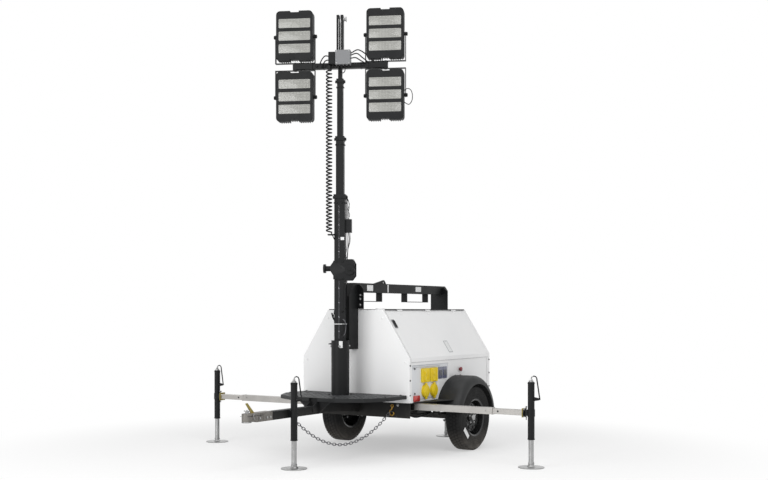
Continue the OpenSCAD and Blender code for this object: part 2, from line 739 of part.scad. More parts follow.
module lift_frame() {
    low = beam_top - beam_h;
    y0 = -mast_y + post_r + 5;
    y1 = cab_rear + 120;
    w = beam_w / 2;
    color(black) difference() {
        union() {
            along_x(-w, w) polygon([[y0, lift_low], [-cab_front, lift_low], [-cab_front, low], [cab_rear, low],
                [cab_rear, lift_low], [y1, lift_low], [y1, beam_top - 45], [y1 - 60, beam_top], [y0 + 70, beam_top], [y0, beam_top - 120]]);
            for (y = [-cab_front - flange_t, cab_rear]) along_y(y, y + flange_t)
                polygon([[-flange_w, roof_z + 8], [flange_w, roof_z + 8], [flange_w, beam_top - 55], [flange_w - 40, beam_top - 15],
                    [-flange_w + 40, beam_top - 15], [-flange_w, beam_top - 55]]);
            for (s = [-1, 1]) translate([0, pocket_mid + s * pocket_pitch / 2, 0]) {
                for (e = [-1, 1]) box([-w + 5, e * (pocket_w / 2 + 5) - 5, low - pocket_h - 6], [w - 5, e * (pocket_w / 2 + 5) + 5, low + 1]);
                box([-w + 5, -pocket_w / 2 - 10, low - pocket_h - 6], [w - 5, pocket_w / 2 + 10, low - pocket_h]);
            }
            along_x(-6, 6) hull() {
                translate([-560, beam_top - 1]) square([220, 1]);
                translate([-385, beam_top + 12]) circle(26, $fn = 32);
            }
        }
        x_rod(13, -20, 20, -385, beam_top + 14);
    }
}

// Mast

module mast_post() {
    color(black) translate([0, -mast_y, 0]) {
        difference() {
            translate([0, 0, floor_z - 1]) cylinder(r = post_r, h = post_top - floor_z + 1);
            translate([0, 0, floor_z - 1 + base_t]) cylinder(r = post_bore, h = post_top);
        }
        x_rod(8, -post_r - 26, -post_r + 4, 0, post_top - 32);
        y_rod(5, -32, 32, -post_r - 22, post_top - 32);
    }
}

module in_mast() translate([0, -mast_y, 0]) rotate([0, 0, mast_turn]) children();

// Upright ring: square outside, square opening
module ring(outer, opening, low, high) {
    difference() {
        translate([-outer / 2, -outer / 2, low]) cube([outer, outer, high - low]);
        translate([-opening / 2, -opening / 2, low - 1]) cube([opening, opening, high - low + 2]);
    }
}

// Mast stage i: tube, collar for the next stage and foot that fills the last stage
module mast_stage(i) {
    side = stage_sq[i];
    t = stage_wall[i];
    color(black) in_mast() {
        square_tube(side, t, stage_low[i], stage_top[i] - (i < 3 ? 1 : 0));
        if (i < 3) {
            next = stage_sq[i + 1] + 2 * pad_slip;
            ring(side + 12, next, stage_top[i] - collar_h, stage_top[i]);
            box([side / 2 + 5, -8, stage_top[i] - collar_h + 4], [side / 2 + 20, 8, stage_top[i] - 12]);
            box([-side / 2 - 20, -8, stage_top[i] - collar_h + 4], [-side / 2 - 5, 8, stage_top[i] - 12]);
        }
        if (i > 0)
            ring(stage_sq[i - 1] - 2 * stage_wall[i - 1] - 2 * pad_slip, side - 2 * t, stage_low[i], stage_low[i] + foot_h);
        if (i == 0) box([cable_xy[0] - cable_seat, cable_xy[1] - cable_seat, cable_low - cable_seat], [-side / 2 + 8, -side / 2 + 1, cable_low - pad_slip]);
        if (i == 0) for (z = [stage_low[0], post_top - 52]) difference() {
            translate([0, 0, z]) cylinder(r = post_bore - pad_slip, h = 50);
            translate([-side / 2 + t, -side / 2 + t, z - 1]) cube([side - 2 * t, side - 2 * t, 52]);
        }
    }
}

// Two-speed winch: cheek plates, gear case and drum on the right, brake knob on the left
module winch() {
    a = stage_sq[0] / 2;
    low = beam_top + 16;
    drum_z = low + 95;
    color(black) in_mast() {
        box([-a - 8, -a - 8, low + 10], [a + 8, -a, low + 176]);
        for (y = [-a - 8, a - 4]) along_y(y, y + 7)
            polygon([[a, low], [a + 60, low], [a + 92, low + 40], [a + 92, low + 150], [a + 70, low + 190], [a, low + 190]]);
        along_y(-a - 26, -a - 7) translate([a + 46, drum_z]) circle(44);
        y_rod(24, -a - 8, a, a + 46, drum_z);
        for (y = [-a - 2, a - 9]) y_rod(40, y, y + 5, a + 46, drum_z);
        y_rod(9, -a - 48, -a - 25, a + 46, drum_z);
        box([a, -a + 8, low + 176], [a + 72, a - 2, low + 190]);
        box([a, -a - 2, low + 4], [a + 12, a + 2, low + 186]);
        along_y(-a - 8, a - 20) polygon([[-a, low + 30], [-a, low + 180], [-a - 34, low + 132], [-a - 34, low + 84]]);
        x_rod(24, -a - 92, -a - 30, 0, low + 108);
        x_rod(40, -a - 104, -a - 84, 0, low + 108);
    }
}

module switch_box() {
    a = stage_sq[0] / 2;
    high = stage_1_top - 222;
    color(black) in_mast() {
        box([a, -25, high - 120], [a + 56, 25, high]);
        translate([a + 14, 0, high - 1]) cylinder(r = 5, h = stage_1_top - collar_h + 5 - high);
    }
}

module coiled_cable() color(rubber) in_mast() translate([cable_xy[0], cable_xy[1], cable_low]) cylinder(r = cable_r, h = cable_high - cable_low);

module mast_head() {
    half = lamp_x + 20;
    b = bar_sq / 2;
    post = 60;
    color(black) in_mast() {
        box([-half, -b, bar_z - b], [half, b, bar_z + b]);
        box([cable_xy[0] - cable_seat, cable_xy[1] - cable_seat, cable_high + pad_slip], [cable_xy[0] + cable_seat, -b + 1, bar_z - b + cable_seat]);
        difference() {
            box([-post / 2, -post / 2, bar_z + b - 1], [post / 2, post / 2, mast_top]);
            box([-6, -post, mast_top - 70], [6, post, mast_top + 1]);
            x_rod(8, -post, post, 0, mast_top - 30);
            for (s = [-1, 1]) box([s * 12 - 3, -post / 2 - 1, bar_z + b + 20], [s * 12 + 3, -post / 2 + 4, mast_top - 90]);
        }
        difference() {
            x_rod(24, post / 2 - 1, post / 2 + 26, 0, mast_top - 34);
            x_rod(30, post / 2 + 5, post / 2 + 20, 0, mast_top - 34);
        }
        x_rod(14, post / 2 - 1, post / 2 + 26, 0, mast_top - 34);
        box([-post / 2 - 1, -post / 2, bar_z - b], [post / 2 + 1, post / 2, bar_z + b]);
        for (s = [-1, 1], u = [-1, 1]) translate([s * lamp_x, 0, bar_z]) mirror([0, 0, u < 0 ? 1 : 0]) {
            translate([0, 0, b - 1]) cylinder(r = 24, h = pan_pad + 1);
            translate([0, 0, b]) cylinder(r = 8, h = pan_pad + yoke_t + 3);
            translate([0, 0, b + pan_pad + pad_slip * 2 + yoke_t]) cylinder(r = 14, h = 4, $fn = 6);
        }
    }
}

module junction_box() {
    b = bar_sq / 2;
    color(grey) in_mast() {
        box([-30, -30 - 74, bar_z - 6], [105, -30, bar_z + 123]);
        box([-96, -b - 60, bar_z + 2], [-34, -b, bar_z + 112]);
    }
}

// Lamps

// Frame of lamp i: origin on its tilt axis, Z away from the bar
module at_lamp(i) {
    in_mast() translate([LAMPS[i][1] * lamp_x, 0, bar_z + LAMPS[i][2] * lamp_arm])
        mirror([0, 0, LAMPS[i][2] < 0 ? 1 : 0]) children();
}

module yoke(i) {
    low = -lamp_arm + bar_sq / 2 + pan_pad + pad_slip;
    color(black) at_lamp(i) difference() {
        union() {
            box([-yoke_in - yoke_t, -yoke_w / 2, low], [yoke_in + yoke_t, yoke_w / 2, low + yoke_t]);
            for (s = [-1, 1]) {
                box([s * (yoke_in + yoke_t / 2) - yoke_t / 2, -yoke_w / 2, low], [s * (yoke_in + yoke_t / 2) + yoke_t / 2, yoke_w / 2, 0]);
                x_rod(yoke_w / 2, s * (yoke_in + yoke_t / 2) - yoke_t / 2, s * (yoke_in + yoke_t / 2) + yoke_t / 2, 0, 0);
            }
        }
        x_rod(9 + pin_slip, -lamp_w, lamp_w, 0, 0);
        translate([0, 0, low - 1]) cylinder(r = 8 + pin_slip, h = yoke_t + 2);
    }
}

// Cooling fins on a lamp's back
fin_n = 16;
fin_pitch = 20;
fin_gap = 14;
fin_h = 34;

module lamp(i) {
    front = -lamp_d * 0.55;
    color(black) at_lamp(i) {
        difference() {
            translate([0, front + lamp_d, 0]) rotate([90, 0, 0]) linear_extrude(lamp_d) rounded_rect(lamp_w, lamp_h, 36);
            for (e = [-1, 0, 1]) translate([0, front + 3, e * 113]) rotate([90, 0, 0]) linear_extrude(10) rounded_rect(290, 84, 6);
            for (e = [-1, 1]) translate([-40, front - 1, e * (lamp_h / 2 - 6) - 6.5]) cube([80, lamp_d + 2, 13]);
            for (k = [0:fin_n - 2]) translate([(k - fin_n / 2 + 1) * fin_pitch - fin_gap / 2, front + lamp_d - fin_h, -lamp_h])
                cube([fin_gap, fin_h + 1, 2 * lamp_h]);
        }
        translate([-70, front + lamp_d - fin_h - 1, -90]) cube([140, fin_h + 9, 180]);
        for (s = [-1, 1]) {
            x_rod(9, min(s * (lamp_side - 2), s * (yoke_in + yoke_t + 2)), max(s * (lamp_side - 2), s * (yoke_in + yoke_t + 2)), 0, 0);
            x_rod(16, min(s * (lamp_side - 2), s * (yoke_in - 1)), max(s * (lamp_side - 2), s * (yoke_in - 1)), 0, 0);
            x_rod(15, min(s * (yoke_in + yoke_t + 0.5), s * (yoke_in + yoke_t + 14)), max(s * (yoke_in + yoke_t + 0.5), s * (yoke_in + yoke_t + 14)), 0, 0);
        }
    }
}

// Puts the origin on the ground below the middle of the length
module place() translate([0, origin_y, 0]) children();

place() frame();
place() tongue();
place() coupler();
place() platform();
place() mast_post();
place() lift_frame();
place() cabinet_front();
place() cabinet_rear();
place() cabinet_side_left();
place() cabinet_side_right();
place() roof();
place() door_left();
place() door_right();
place() outlet_panel();
place() engine_block();
place() axle();
place() road_lamps();
place() safety_chain();
for (side = [["left", -1], ["right", 1]]) {
    place() fender(side[1]);
    place() tyre(side[1]);
    place() rim(side[1]);
    place() arm_outer(side[1]);
    place() arm_inner(side[1]);
}
for (i = [0:len(JACKS) - 1]) {
    place() jack_body(i);
    place() jack_leg(i);
}
for (i = [0:3])
    place() mast_stage(i);
place() winch();
place() switch_box();
place() coiled_cable();
place() mast_head();
place() junction_box();
for (i = [0:len(LAMPS) - 1]) {
    place() yoke(i);
    place() lamp(i);
}
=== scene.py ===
"""Looks of a mobile light tower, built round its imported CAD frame.

Lengths are metres in the frame's own axes: X to the outlet side, Y to the rear, Z up, with the ground at zero.
Each sub-assembly is a class that builds its own pieces. Sizes that the frame already holds are read from it.
"""

from __future__ import annotations

import json
import logging
import math
from collections.abc import Callable, Iterable, Sequence
from dataclasses import dataclass, field
from enum import Enum

import bmesh
import bpy
from mathutils import Matrix, Vector

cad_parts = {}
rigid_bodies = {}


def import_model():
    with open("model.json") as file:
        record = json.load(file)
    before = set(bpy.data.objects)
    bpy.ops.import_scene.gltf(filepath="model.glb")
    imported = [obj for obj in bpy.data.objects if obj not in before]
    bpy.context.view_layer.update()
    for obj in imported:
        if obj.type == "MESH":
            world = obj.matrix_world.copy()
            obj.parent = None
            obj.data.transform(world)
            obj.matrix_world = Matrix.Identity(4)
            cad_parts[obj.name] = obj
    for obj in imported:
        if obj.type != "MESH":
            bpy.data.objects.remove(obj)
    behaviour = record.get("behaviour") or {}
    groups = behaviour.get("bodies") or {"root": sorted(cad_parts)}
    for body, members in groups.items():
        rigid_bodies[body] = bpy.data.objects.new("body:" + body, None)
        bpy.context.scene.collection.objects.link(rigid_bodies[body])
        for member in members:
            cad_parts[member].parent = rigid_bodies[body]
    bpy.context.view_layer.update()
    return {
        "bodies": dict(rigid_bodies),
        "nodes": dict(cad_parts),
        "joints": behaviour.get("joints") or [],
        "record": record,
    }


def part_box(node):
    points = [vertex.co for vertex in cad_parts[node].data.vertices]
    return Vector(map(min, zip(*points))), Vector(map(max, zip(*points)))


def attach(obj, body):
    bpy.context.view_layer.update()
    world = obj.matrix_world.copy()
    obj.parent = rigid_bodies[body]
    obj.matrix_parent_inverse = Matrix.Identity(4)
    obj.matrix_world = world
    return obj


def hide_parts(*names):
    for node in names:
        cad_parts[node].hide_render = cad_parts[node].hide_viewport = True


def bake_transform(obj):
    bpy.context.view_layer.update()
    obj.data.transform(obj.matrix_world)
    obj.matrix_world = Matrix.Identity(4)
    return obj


LOG = logging.getLogger("light_tower")
MM = 0.001
SIDES = {"left": -1, "right": 1}
# The mast's heading at rest in degrees, its post's Y, and the height of the outrigger arms' axis
MAST_TURN = 26.0
POST_Y = -0.36
ARM_Z = 0.46

Point = Sequence[float] | Vector


# Finishes

def linear(hex_colour: str) -> tuple[float, float, float, float]:
    """Turns an sRGB hex colour into linear values with full alpha."""
    parts = [int(hex_colour[i : i + 2], 16) / 255 for i in (1, 3, 5)]
    levels = [c / 12.92 if c <= 0.04045 else ((c + 0.055) / 1.055) ** 2.4 for c in parts]
    return (*levels, 1.0)


def add(tree: bpy.types.NodeTree, kind: str, inputs: dict | None = None, **settings: object) -> bpy.types.Node:
    """Adds one node to a tree.

    Args:
        tree: The material or geometry tree.
        kind: The node's type name.
        inputs: Socket name or number to a value, or to the output socket that feeds it.
        settings: Attributes of the node.

    Returns:
        The new node.
    """
    made = tree.nodes.new(kind)
    for key, value in settings.items():
        setattr(made, key, value)
    for key, value in (inputs or {}).items():
        if isinstance(value, bpy.types.NodeSocket):
            tree.links.new(value, made.inputs[key])
        else:
            made.inputs[key].default_value = value
    return made


class Grain(Enum):
    """Surface pattern that a finish shows from close by."""

    SMOOTH = "smooth"
    ORANGE_PEEL = "orange peel"
    CAST = "cast"
    SPANGLE = "spangle"
    BRUSHED = "brushed"
    TEXTURED = "textured"


@dataclass(frozen=True)
class Finish:
    """One real finish: what the material is, how its surface was made, and what that gives the eye.

    Attributes:
        name: Common name of the material and its finish.
        colour: Main colour as sRGB hex.
        tint: Colour that broad patches drift to.
        rough: Roughness of the surface.
        metal: 1 for bare metal, 0 for paint, plastic and rubber.
        ior: Index of refraction of paint and plastics.
        grain: The pattern of the surface.
        grain_mm: Real size of that pattern.
        depth_mm: Height of that pattern.
        patch_mm: Real size of the broad patches.
        drift: How far the patches go towards the tint, 0 to 1.
        dust_height: Height in metres up to which road dust settles, or 0.
        glow: Strength of a faint painted glow that lifts a lens's colour, or 0.
        coat: Weight of a clear coat.
        gloss: Specular level, 0.5 for a clean surface and less where fine dust or texture swallows the reflection.
    """

    name: str
    colour: str
    tint: str
    rough: float
    metal: float = 0.0
    ior: float = 1.5
    grain: Grain = Grain.SMOOTH
    grain_mm: float = 2.0
    depth_mm: float = 0.05
    patch_mm: float = 300.0
    drift: float = 0.35
    dust_height: float = 0.0
    glow: float = 0.0
    coat: float = 0.0
    gloss: float = 0.5

    def material(self) -> bpy.types.Material:
        """Returns the material of this finish, built once."""
        found = bpy.data.materials.get(self.name)
        if found:
            return found
        made = bpy.data.materials.new(self.name)
        made.use_nodes = True
        tree = made.node_tree
        tree.nodes.clear()
        where = add(tree, "ShaderNodeTexCoord").outputs["Object"]
        colour = self._colour(tree, where)
        shader = add(tree, "ShaderNodeBsdfPrincipled", {
            "Base Color": colour,
            "Metallic": self.metal,
            "Roughness": self._roughness(tree, where),
            "IOR": self.ior,
            "Coat Weight": self.coat,
            "Specular IOR Level": self.gloss,
            "Normal": self._relief(tree, where),
        })
        if self.glow:
            shader.inputs["Emission Color"].default_value = linear(self.colour)
            shader.inputs["Emission Strength"].default_value = self.glow
        add(tree, "ShaderNodeOutputMaterial", {"Surface": shader.outputs["BSDF"]})
        made.diffuse_color = linear(self.colour)
        return made

    def _colour(self, tree: bpy.types.NodeTree, where: bpy.types.NodeSocket) -> bpy.types.NodeSocket:
        """Mixes the main colour, its tint in broad patches, and dust near the ground."""
        patches = add(tree, "ShaderNodeTexNoise", {"Vector": where, "Scale": 1000 / self.patch_mm, "Detail": 6.0,
                                                   "Roughness": 0.62})
        share = add(tree, "ShaderNodeMapRange", {"Value": patches.outputs["Fac"], "From Min": 0.35, "From Max": 0.7,
                                                 "To Max": self.drift})
        mixed = add(tree, "ShaderNodeMix", {0: share.outputs["Result"], 6: linear(self.colour), 7: linear(self.tint)},
                    data_type="RGBA").outputs[2]
        if self.grain is Grain.SPANGLE:
            flakes = add(tree, "ShaderNodeTexVoronoi", {"Vector": where, "Scale": 1000 / self.grain_mm})
            tone = add(tree, "ShaderNodeMapRange", {"Value": flakes.outputs["Color"], "To Min": 0.82, "To Max": 1.0})
            mixed = add(tree, "ShaderNodeMix", {0: 1.0, 6: mixed, 7: tone.outputs["Result"]}, data_type="RGBA",
                        blend_type="MULTIPLY").outputs[2]
        if self.dust_height:
            split = add(tree, "ShaderNodeSeparateXYZ", {"Vector": where})
            low = add(tree, "ShaderNodeMapRange", {"Value": split.outputs["Z"], "From Max": self.dust_height,
                                                   "To Min": 0.5, "To Max": 0.0})
            cloud = add(tree, "ShaderNodeTexNoise", {"Vector": where, "Scale": 14.0, "Detail": 8.0})
            amount = add(tree, "ShaderNodeMath", {0: low.outputs["Result"], 1: cloud.outputs["Fac"]},
                         operation="MULTIPLY")
            mixed = add(tree, "ShaderNodeMix", {0: amount.outputs["Value"], 6: mixed, 7: linear("#8A837A")},
                        data_type="RGBA").outputs[2]
        return mixed

    def _roughness(self, tree: bpy.types.NodeTree, where: bpy.types.NodeSocket) -> bpy.types.NodeSocket:
        """Smudges the roughness by a tenth or so, as handling and weather do."""
        smudge = add(tree, "ShaderNodeTexNoise", {"Vector": where, "Scale": 9.0, "Detail": 7.0})
        spread = add(tree, "ShaderNodeMapRange", {"Value": smudge.outputs["Fac"], "From Min": 0.3, "From Max": 0.7,
                                                  "To Min": max(self.rough - 0.07, 0.02),
                                                  "To Max": min(self.rough + 0.09, 1.0)})
        return spread.outputs["Result"]

    def _relief(self, tree: bpy.types.NodeTree, where: bpy.types.NodeSocket) -> bpy.types.NodeSocket:
        """Raises the surface pattern as bump of its real size."""
        scale = 1000 / self.grain_mm
        if self.grain is Grain.BRUSHED:
            stretched = add(tree, "ShaderNodeMapping", {"Vector": where, "Scale": (0.04, 1.0, 1.0)})
            where = stretched.outputs["Vector"]
        if self.grain in (Grain.SPANGLE, Grain.TEXTURED):
            cells = add(tree, "ShaderNodeTexVoronoi", {"Vector": where, "Scale": scale}, feature="SMOOTH_F1")
            height = cells.outputs["Distance"]
        else:
            waves = add(tree, "ShaderNodeTexNoise", {"Vector": where, "Scale": scale, "Detail": 3.0})
            height = waves.outputs["Fac"]
        strength = 0.15 if self.grain is Grain.SMOOTH else 0.8
        bump = add(tree, "ShaderNodeBump", {"Height": height, "Strength": strength, "Distance": self.depth_mm * MM})
        return bump.outputs["Normal"]


# White polyester powder coat on steel sheet: clean, satin, with the faint orange peel of the oven
WHITE_PAINT = Finish("white_powder_coat", "#E6E6E6", "#DADBDC", 0.38, grain=Grain.ORANGE_PEEL, grain_mm=6,
                     depth_mm=0.06, patch_mm=700, drift=0.5)
# Black powder coat on welded steel: satin with a finer peel, greyed where it has been handled
BLACK_PAINT = Finish("black_powder_coat", "#101112", "#18191A", 0.42, grain=Grain.ORANGE_PEEL, grain_mm=5,
                     depth_mm=0.08, patch_mm=260, drift=0.6, gloss=0.2)
# The same coat low on the chassis, where road dust has settled into it
CHASSIS_PAINT = Finish("black_chassis_coat", "#111213", "#1B1B1C", 0.5, grain=Grain.ORANGE_PEEL, grain_mm=5,
                       depth_mm=0.1, patch_mm=220, drift=0.6, dust_height=0.5, gloss=0.2)
# The deck's raised bars, a lighter grey than the deck with lighter patches: a painted highlight on their tops
TREAD_BAR_HIGHLIGHT = Finish("tread_bars_painted_highlight", "#3A3B3C", "#5A5C5F", 0.34, patch_mm=120, drift=0.9)
# Black coat of the deck between them
DECK_PAINT = Finish("black_deck_coat", "#151617", "#222324", 0.46, grain=Grain.ORANGE_PEEL, grain_mm=4,
                    depth_mm=0.12, patch_mm=150, drift=0.8, gloss=0.25)
# Bright zinc plate on drawn steel tube: pale, a little warm, with long drawing marks
ZINC_TUBE = Finish("bright_zinc_tube", "#A5A3A0", "#B9B6B2", 0.36, metal=0.85, grain=Grain.BRUSHED, grain_mm=1.4,
                   depth_mm=0.03, patch_mm=160, drift=0.6)
# Bright zinc on round legs and pins, with the drawing marks too fine to show
ZINC_ROUND = Finish("bright_zinc_rod", "#A4A4A4", "#888989", 0.3, metal=0.9, patch_mm=90, drift=0.7)
# Weathered zinc of the safety chain, and of the thin line up the mast, where it is a painted highlight
WEATHERED_ZINC_AND_HIGHLIGHT = Finish("weathered_zinc_and_painted_highlight", "#77767A", "#55555A", 0.42, metal=0.8, grain=Grain.CAST, grain_mm=3,
                    depth_mm=0.04, patch_mm=30)
# Hot-dip zinc on a casting: dull grey with crystal spangle and a grainy skin
CAST_ZINC = Finish("cast_hot_dip_zinc", "#86837F", "#68645F", 0.5, metal=0.75, grain=Grain.SPANGLE, grain_mm=7,
                   depth_mm=0.25, patch_mm=60, drift=0.8)
# Yellow passivated zinc: thin gold and olive tones over steel
GOLD_ZINC = Finish("yellow_passivated_zinc", "#A08A4C", "#7C7C48", 0.34, metal=0.85, patch_mm=18, drift=0.9)
# Brass-coloured forged hook
BRASS_HOOK = Finish("gold_plated_forged_hook", "#B58F45", "#86682F", 0.36, metal=0.9, grain=Grain.CAST, grain_mm=4,
                    depth_mm=0.15, patch_mm=25, drift=0.7)
# Tyre rubber: matt black that greys with road dust
TYRE_RUBBER = Finish("tyre_rubber", "#181818", "#232323", 0.72, ior=1.52, grain=Grain.TEXTURED, grain_mm=3,
                     depth_mm=0.12, patch_mm=120, drift=0.6, dust_height=0.22, gloss=0.2)
# Soft black rubber of seals, grips and cable jackets, also used as painted shade in holes and gap lines
BLACK_RUBBER_AND_SHADE = Finish("black_rubber_and_painted_shade", "#101011", "#18181A", 0.6, ior=1.52, grain=Grain.CAST, grain_mm=2,
                     depth_mm=0.05, patch_mm=60, drift=0.5, gloss=0.2)
# Gloss black enamel on the wheels' steel discs
RIM_ENAMEL = Finish("black_rim_enamel", "#101011", "#191A1A", 0.3, grain=Grain.ORANGE_PEEL, grain_mm=4,
                    depth_mm=0.08, patch_mm=90, drift=0.6, coat=0.3, gloss=0.35)
# Moulded black polyethylene of the mudguards: even, soft sheen with a leather-like texture
FENDER_PLASTIC = Finish("moulded_black_polyethylene", "#131415", "#1B1C1D", 0.5, ior=1.51, grain=Grain.TEXTURED,
                        grain_mm=2.2, depth_mm=0.12, patch_mm=200, drift=0.6, gloss=0.35)
# Die-cast aluminium lamp body with a textured black powder coat
LAMP_COAT = Finish("textured_black_lamp_coat", "#121314", "#191A1B", 0.55, grain=Grain.TEXTURED, grain_mm=1.6,
                   depth_mm=0.08, patch_mm=90, drift=0.5, gloss=0.2)
# Grey ABS of the junction box
GREY_ABS = Finish("grey_abs", "#6F7072", "#656668", 0.48, ior=1.53, grain=Grain.TEXTURED, grain_mm=1.5,
                  depth_mm=0.04, patch_mm=120, drift=0.4)
# Yellow thermoplastic of the 110 volt sockets
YELLOW_PLASTIC = Finish("yellow_polyamide", "#E3C700", "#C9AC00", 0.42, ior=1.53, patch_mm=60, drift=0.5)
# Smoked blue-grey window of the breaker box
SMOKED_WINDOW = Finish("smoked_polycarbonate", "#5C6078", "#474B60", 0.22, ior=1.58, patch_mm=80, drift=0.5, coat=0.5)
# Pale grey sheet of the outlet panel
PANEL_GREY = Finish("pale_grey_panel", "#D5D7DA", "#C9CBCE", 0.42, grain=Grain.ORANGE_PEEL, grain_mm=4, depth_mm=0.05,
                    patch_mm=200, drift=0.4)
# Red acrylic of the marker lamps, tail lamps and side reflectors, with a faint glow that is painted light
RED_LENS = Finish("red_acrylic_lens", "#C4281C", "#A31C14", 0.2, ior=1.49, patch_mm=30, drift=0.5, coat=0.6, glow=0.04)
# Dark red moulded stop button
STOP_RED = Finish("dark_red_button", "#7E1420", "#5F0D17", 0.32, ior=1.53, patch_mm=25, drift=0.5, coat=0.3)
# Polycarbonate lens sheet over white reflectors: pale, slightly green grey, with a hard gloss
LENS_SHEET = Finish("led_lens_sheet", "#878783", "#787874", 0.28, ior=1.58, patch_mm=90, drift=0.5, coat=0.4)
# The lens domes, lighter than the sheet between them and with a faint glow: a painted highlight of the light they catch
LENS_DOME = Finish("led_lens_dome", "#9C9C97", "#8A8A85", 0.16, ior=1.58, patch_mm=40, drift=0.4, coat=0.5, glow=0.05)
# White vinyl of the bare plates
WHITE_VINYL = Finish("white_vinyl", "#DADBDB", "#CFD0D0", 0.4, patch_mm=60, drift=0.4)
# Grey vinyl border of the bare plates
GREY_VINYL = Finish("grey_vinyl", "#8D9093", "#7E8184", 0.4, patch_mm=60, drift=0.4)
# Cast iron and paint of the engine block
ENGINE_GREY = Finish("engine_grey_enamel", "#4C5054", "#3C4043", 0.45, grain=Grain.CAST, grain_mm=6, depth_mm=0.4,
                     patch_mm=120, drift=0.7)

SLOT_FINISH: dict[str, Finish] = {
    "black_steel": BLACK_PAINT, "white_steel": WHITE_PAINT, "zinc_steel": ZINC_TUBE, "tyre": TYRE_RUBBER,
    "rim": RIM_ENAMEL, "fender_plastic": FENDER_PLASTIC, "lamp_body": LAMP_COAT, "outlet": PANEL_GREY,
    "engine": ENGINE_GREY, "cable": BLACK_RUBBER_AND_SHADE, "red_lens": RED_LENS, "grey_box": GREY_ABS,
}
OWN_FINISH: dict[str, Finish] = {
    "frame": CHASSIS_PAINT, "tongue": CHASSIS_PAINT, "axle": CHASSIS_PAINT, "platform": DECK_PAINT,
    "coupler": CAST_ZINC, **{f"jack_leg_{place}": ZINC_ROUND for place in ("left", "right", "tongue", "rear")},
}


# Mesh tools

# Heads of bolts, screws and nuts: faces round the axis, then radius and height of each point in millimetres
HEADS: dict[str, tuple[int, tuple[tuple[float, float], ...]]] = {
    "wheel_nut": (6, ((11.5, 0), (11.5, 12), (9, 16.5), (4, 18))),
    "cabinet_screw": (12, ((8.5, 0), (8.5, 2), (6, 5), (3.5, 6))),
    "deck_bolt": (6, ((9.5, 0), (9.5, 5.5), (8.2, 6.6), (1, 6.8))),
    "frame_bolt": (12, ((15.5, 0), (15.5, 1.5), (10.5, 1.6), (10.5, 8), (8.5, 9.5), (1, 9.7))),
    "fender_bolt": (6, ((12, 0), (12, 1.2), (8, 1.3), (8, 6), (1, 6.6))),
    "spring_nut": (6, ((9.8, 0), (9.8, 9), (8.5, 10.2), (1, 10.3))),
    "coupler_nut": (6, ((17, 0), (17, 10), (14, 13), (7, 13.5), (7, 30), (1, 31))),
    "coupler_bolt": (6, ((15, 0), (15, 1.5), (10.5, 1.6), (10.5, 7.5), (8.5, 9), (1, 9.2))),
    "road_lamp_screw": (10, ((4.2, 0), (4.2, 1.2), (3, 2), (1, 2.1))),
    "guide_screw": (6, ((7.5, 0), (7.5, 4), (6.2, 5), (1, 5.2))),
    "winch_bolt": (6, ((9, 0), (9, 6), (7.5, 7.2), (1, 7.4))),
    "post_bolt": (6, ((11, 0), (11, 7), (9, 8.6), (1, 8.8))),
    "lamp_screw": (10, ((4.8, 0), (4.8, 1), (3.6, 2.4), (1.8, 3))),
    "junction_screw": (12, ((5.5, 0), (5.5, 1.5), (4, 2.6), (1, 2.7))),
    "flange_bolt": (6, ((13.5, 0), (13.5, 1.5), (9.5, 1.6), (9.5, 7.5), (7.8, 9), (1, 9.2))),
}


@dataclass(frozen=True)
class Spot:
    """Where one small piece stands: its place, the way its Z points, its turn about that, and its size."""

    at: Point
    up: Point = (0.0, 0.0, 1.0)
    spin: float = 0.0
    size: float = 1.0


@dataclass(frozen=True)
class Zone:
    """Part of a piece that has another finish: a test of a face's middle, and the finish."""

    holds: Callable[[Vector], bool]
    finish: Finish


def around(count: int) -> list[float]:
    """Returns the angles of that many points round a circle."""
    return [2 * math.pi * k / count for k in range(count)]


def curve_points(points: Sequence[Point], steps: int = 6) -> list[Vector]:
    """Returns points along a Catmull-Rom curve through the given ones, with that many steps to each span."""
    given = [Vector(p) for p in points]
    padded = [2 * given[0] - given[1], *given, 2 * given[-1] - given[-2]]
    path: list[Vector] = []
    for i in range(len(given) - 1):
        a, b, c, d = padded[i : i + 4]
        for k in range(steps):
            t = k / steps
            path.append(0.5 * (2 * b + (c - a) * t + (2 * a - 5 * b + 4 * c - d) * t * t
                               + (3 * b - a - 3 * c + d) * t ** 3))
    return [*path, given[-1]]


def length_of(path: Sequence[Vector]) -> float:
    """Returns the length of a run of points."""
    return sum((b - a).length for a, b in zip(path, path[1:]))


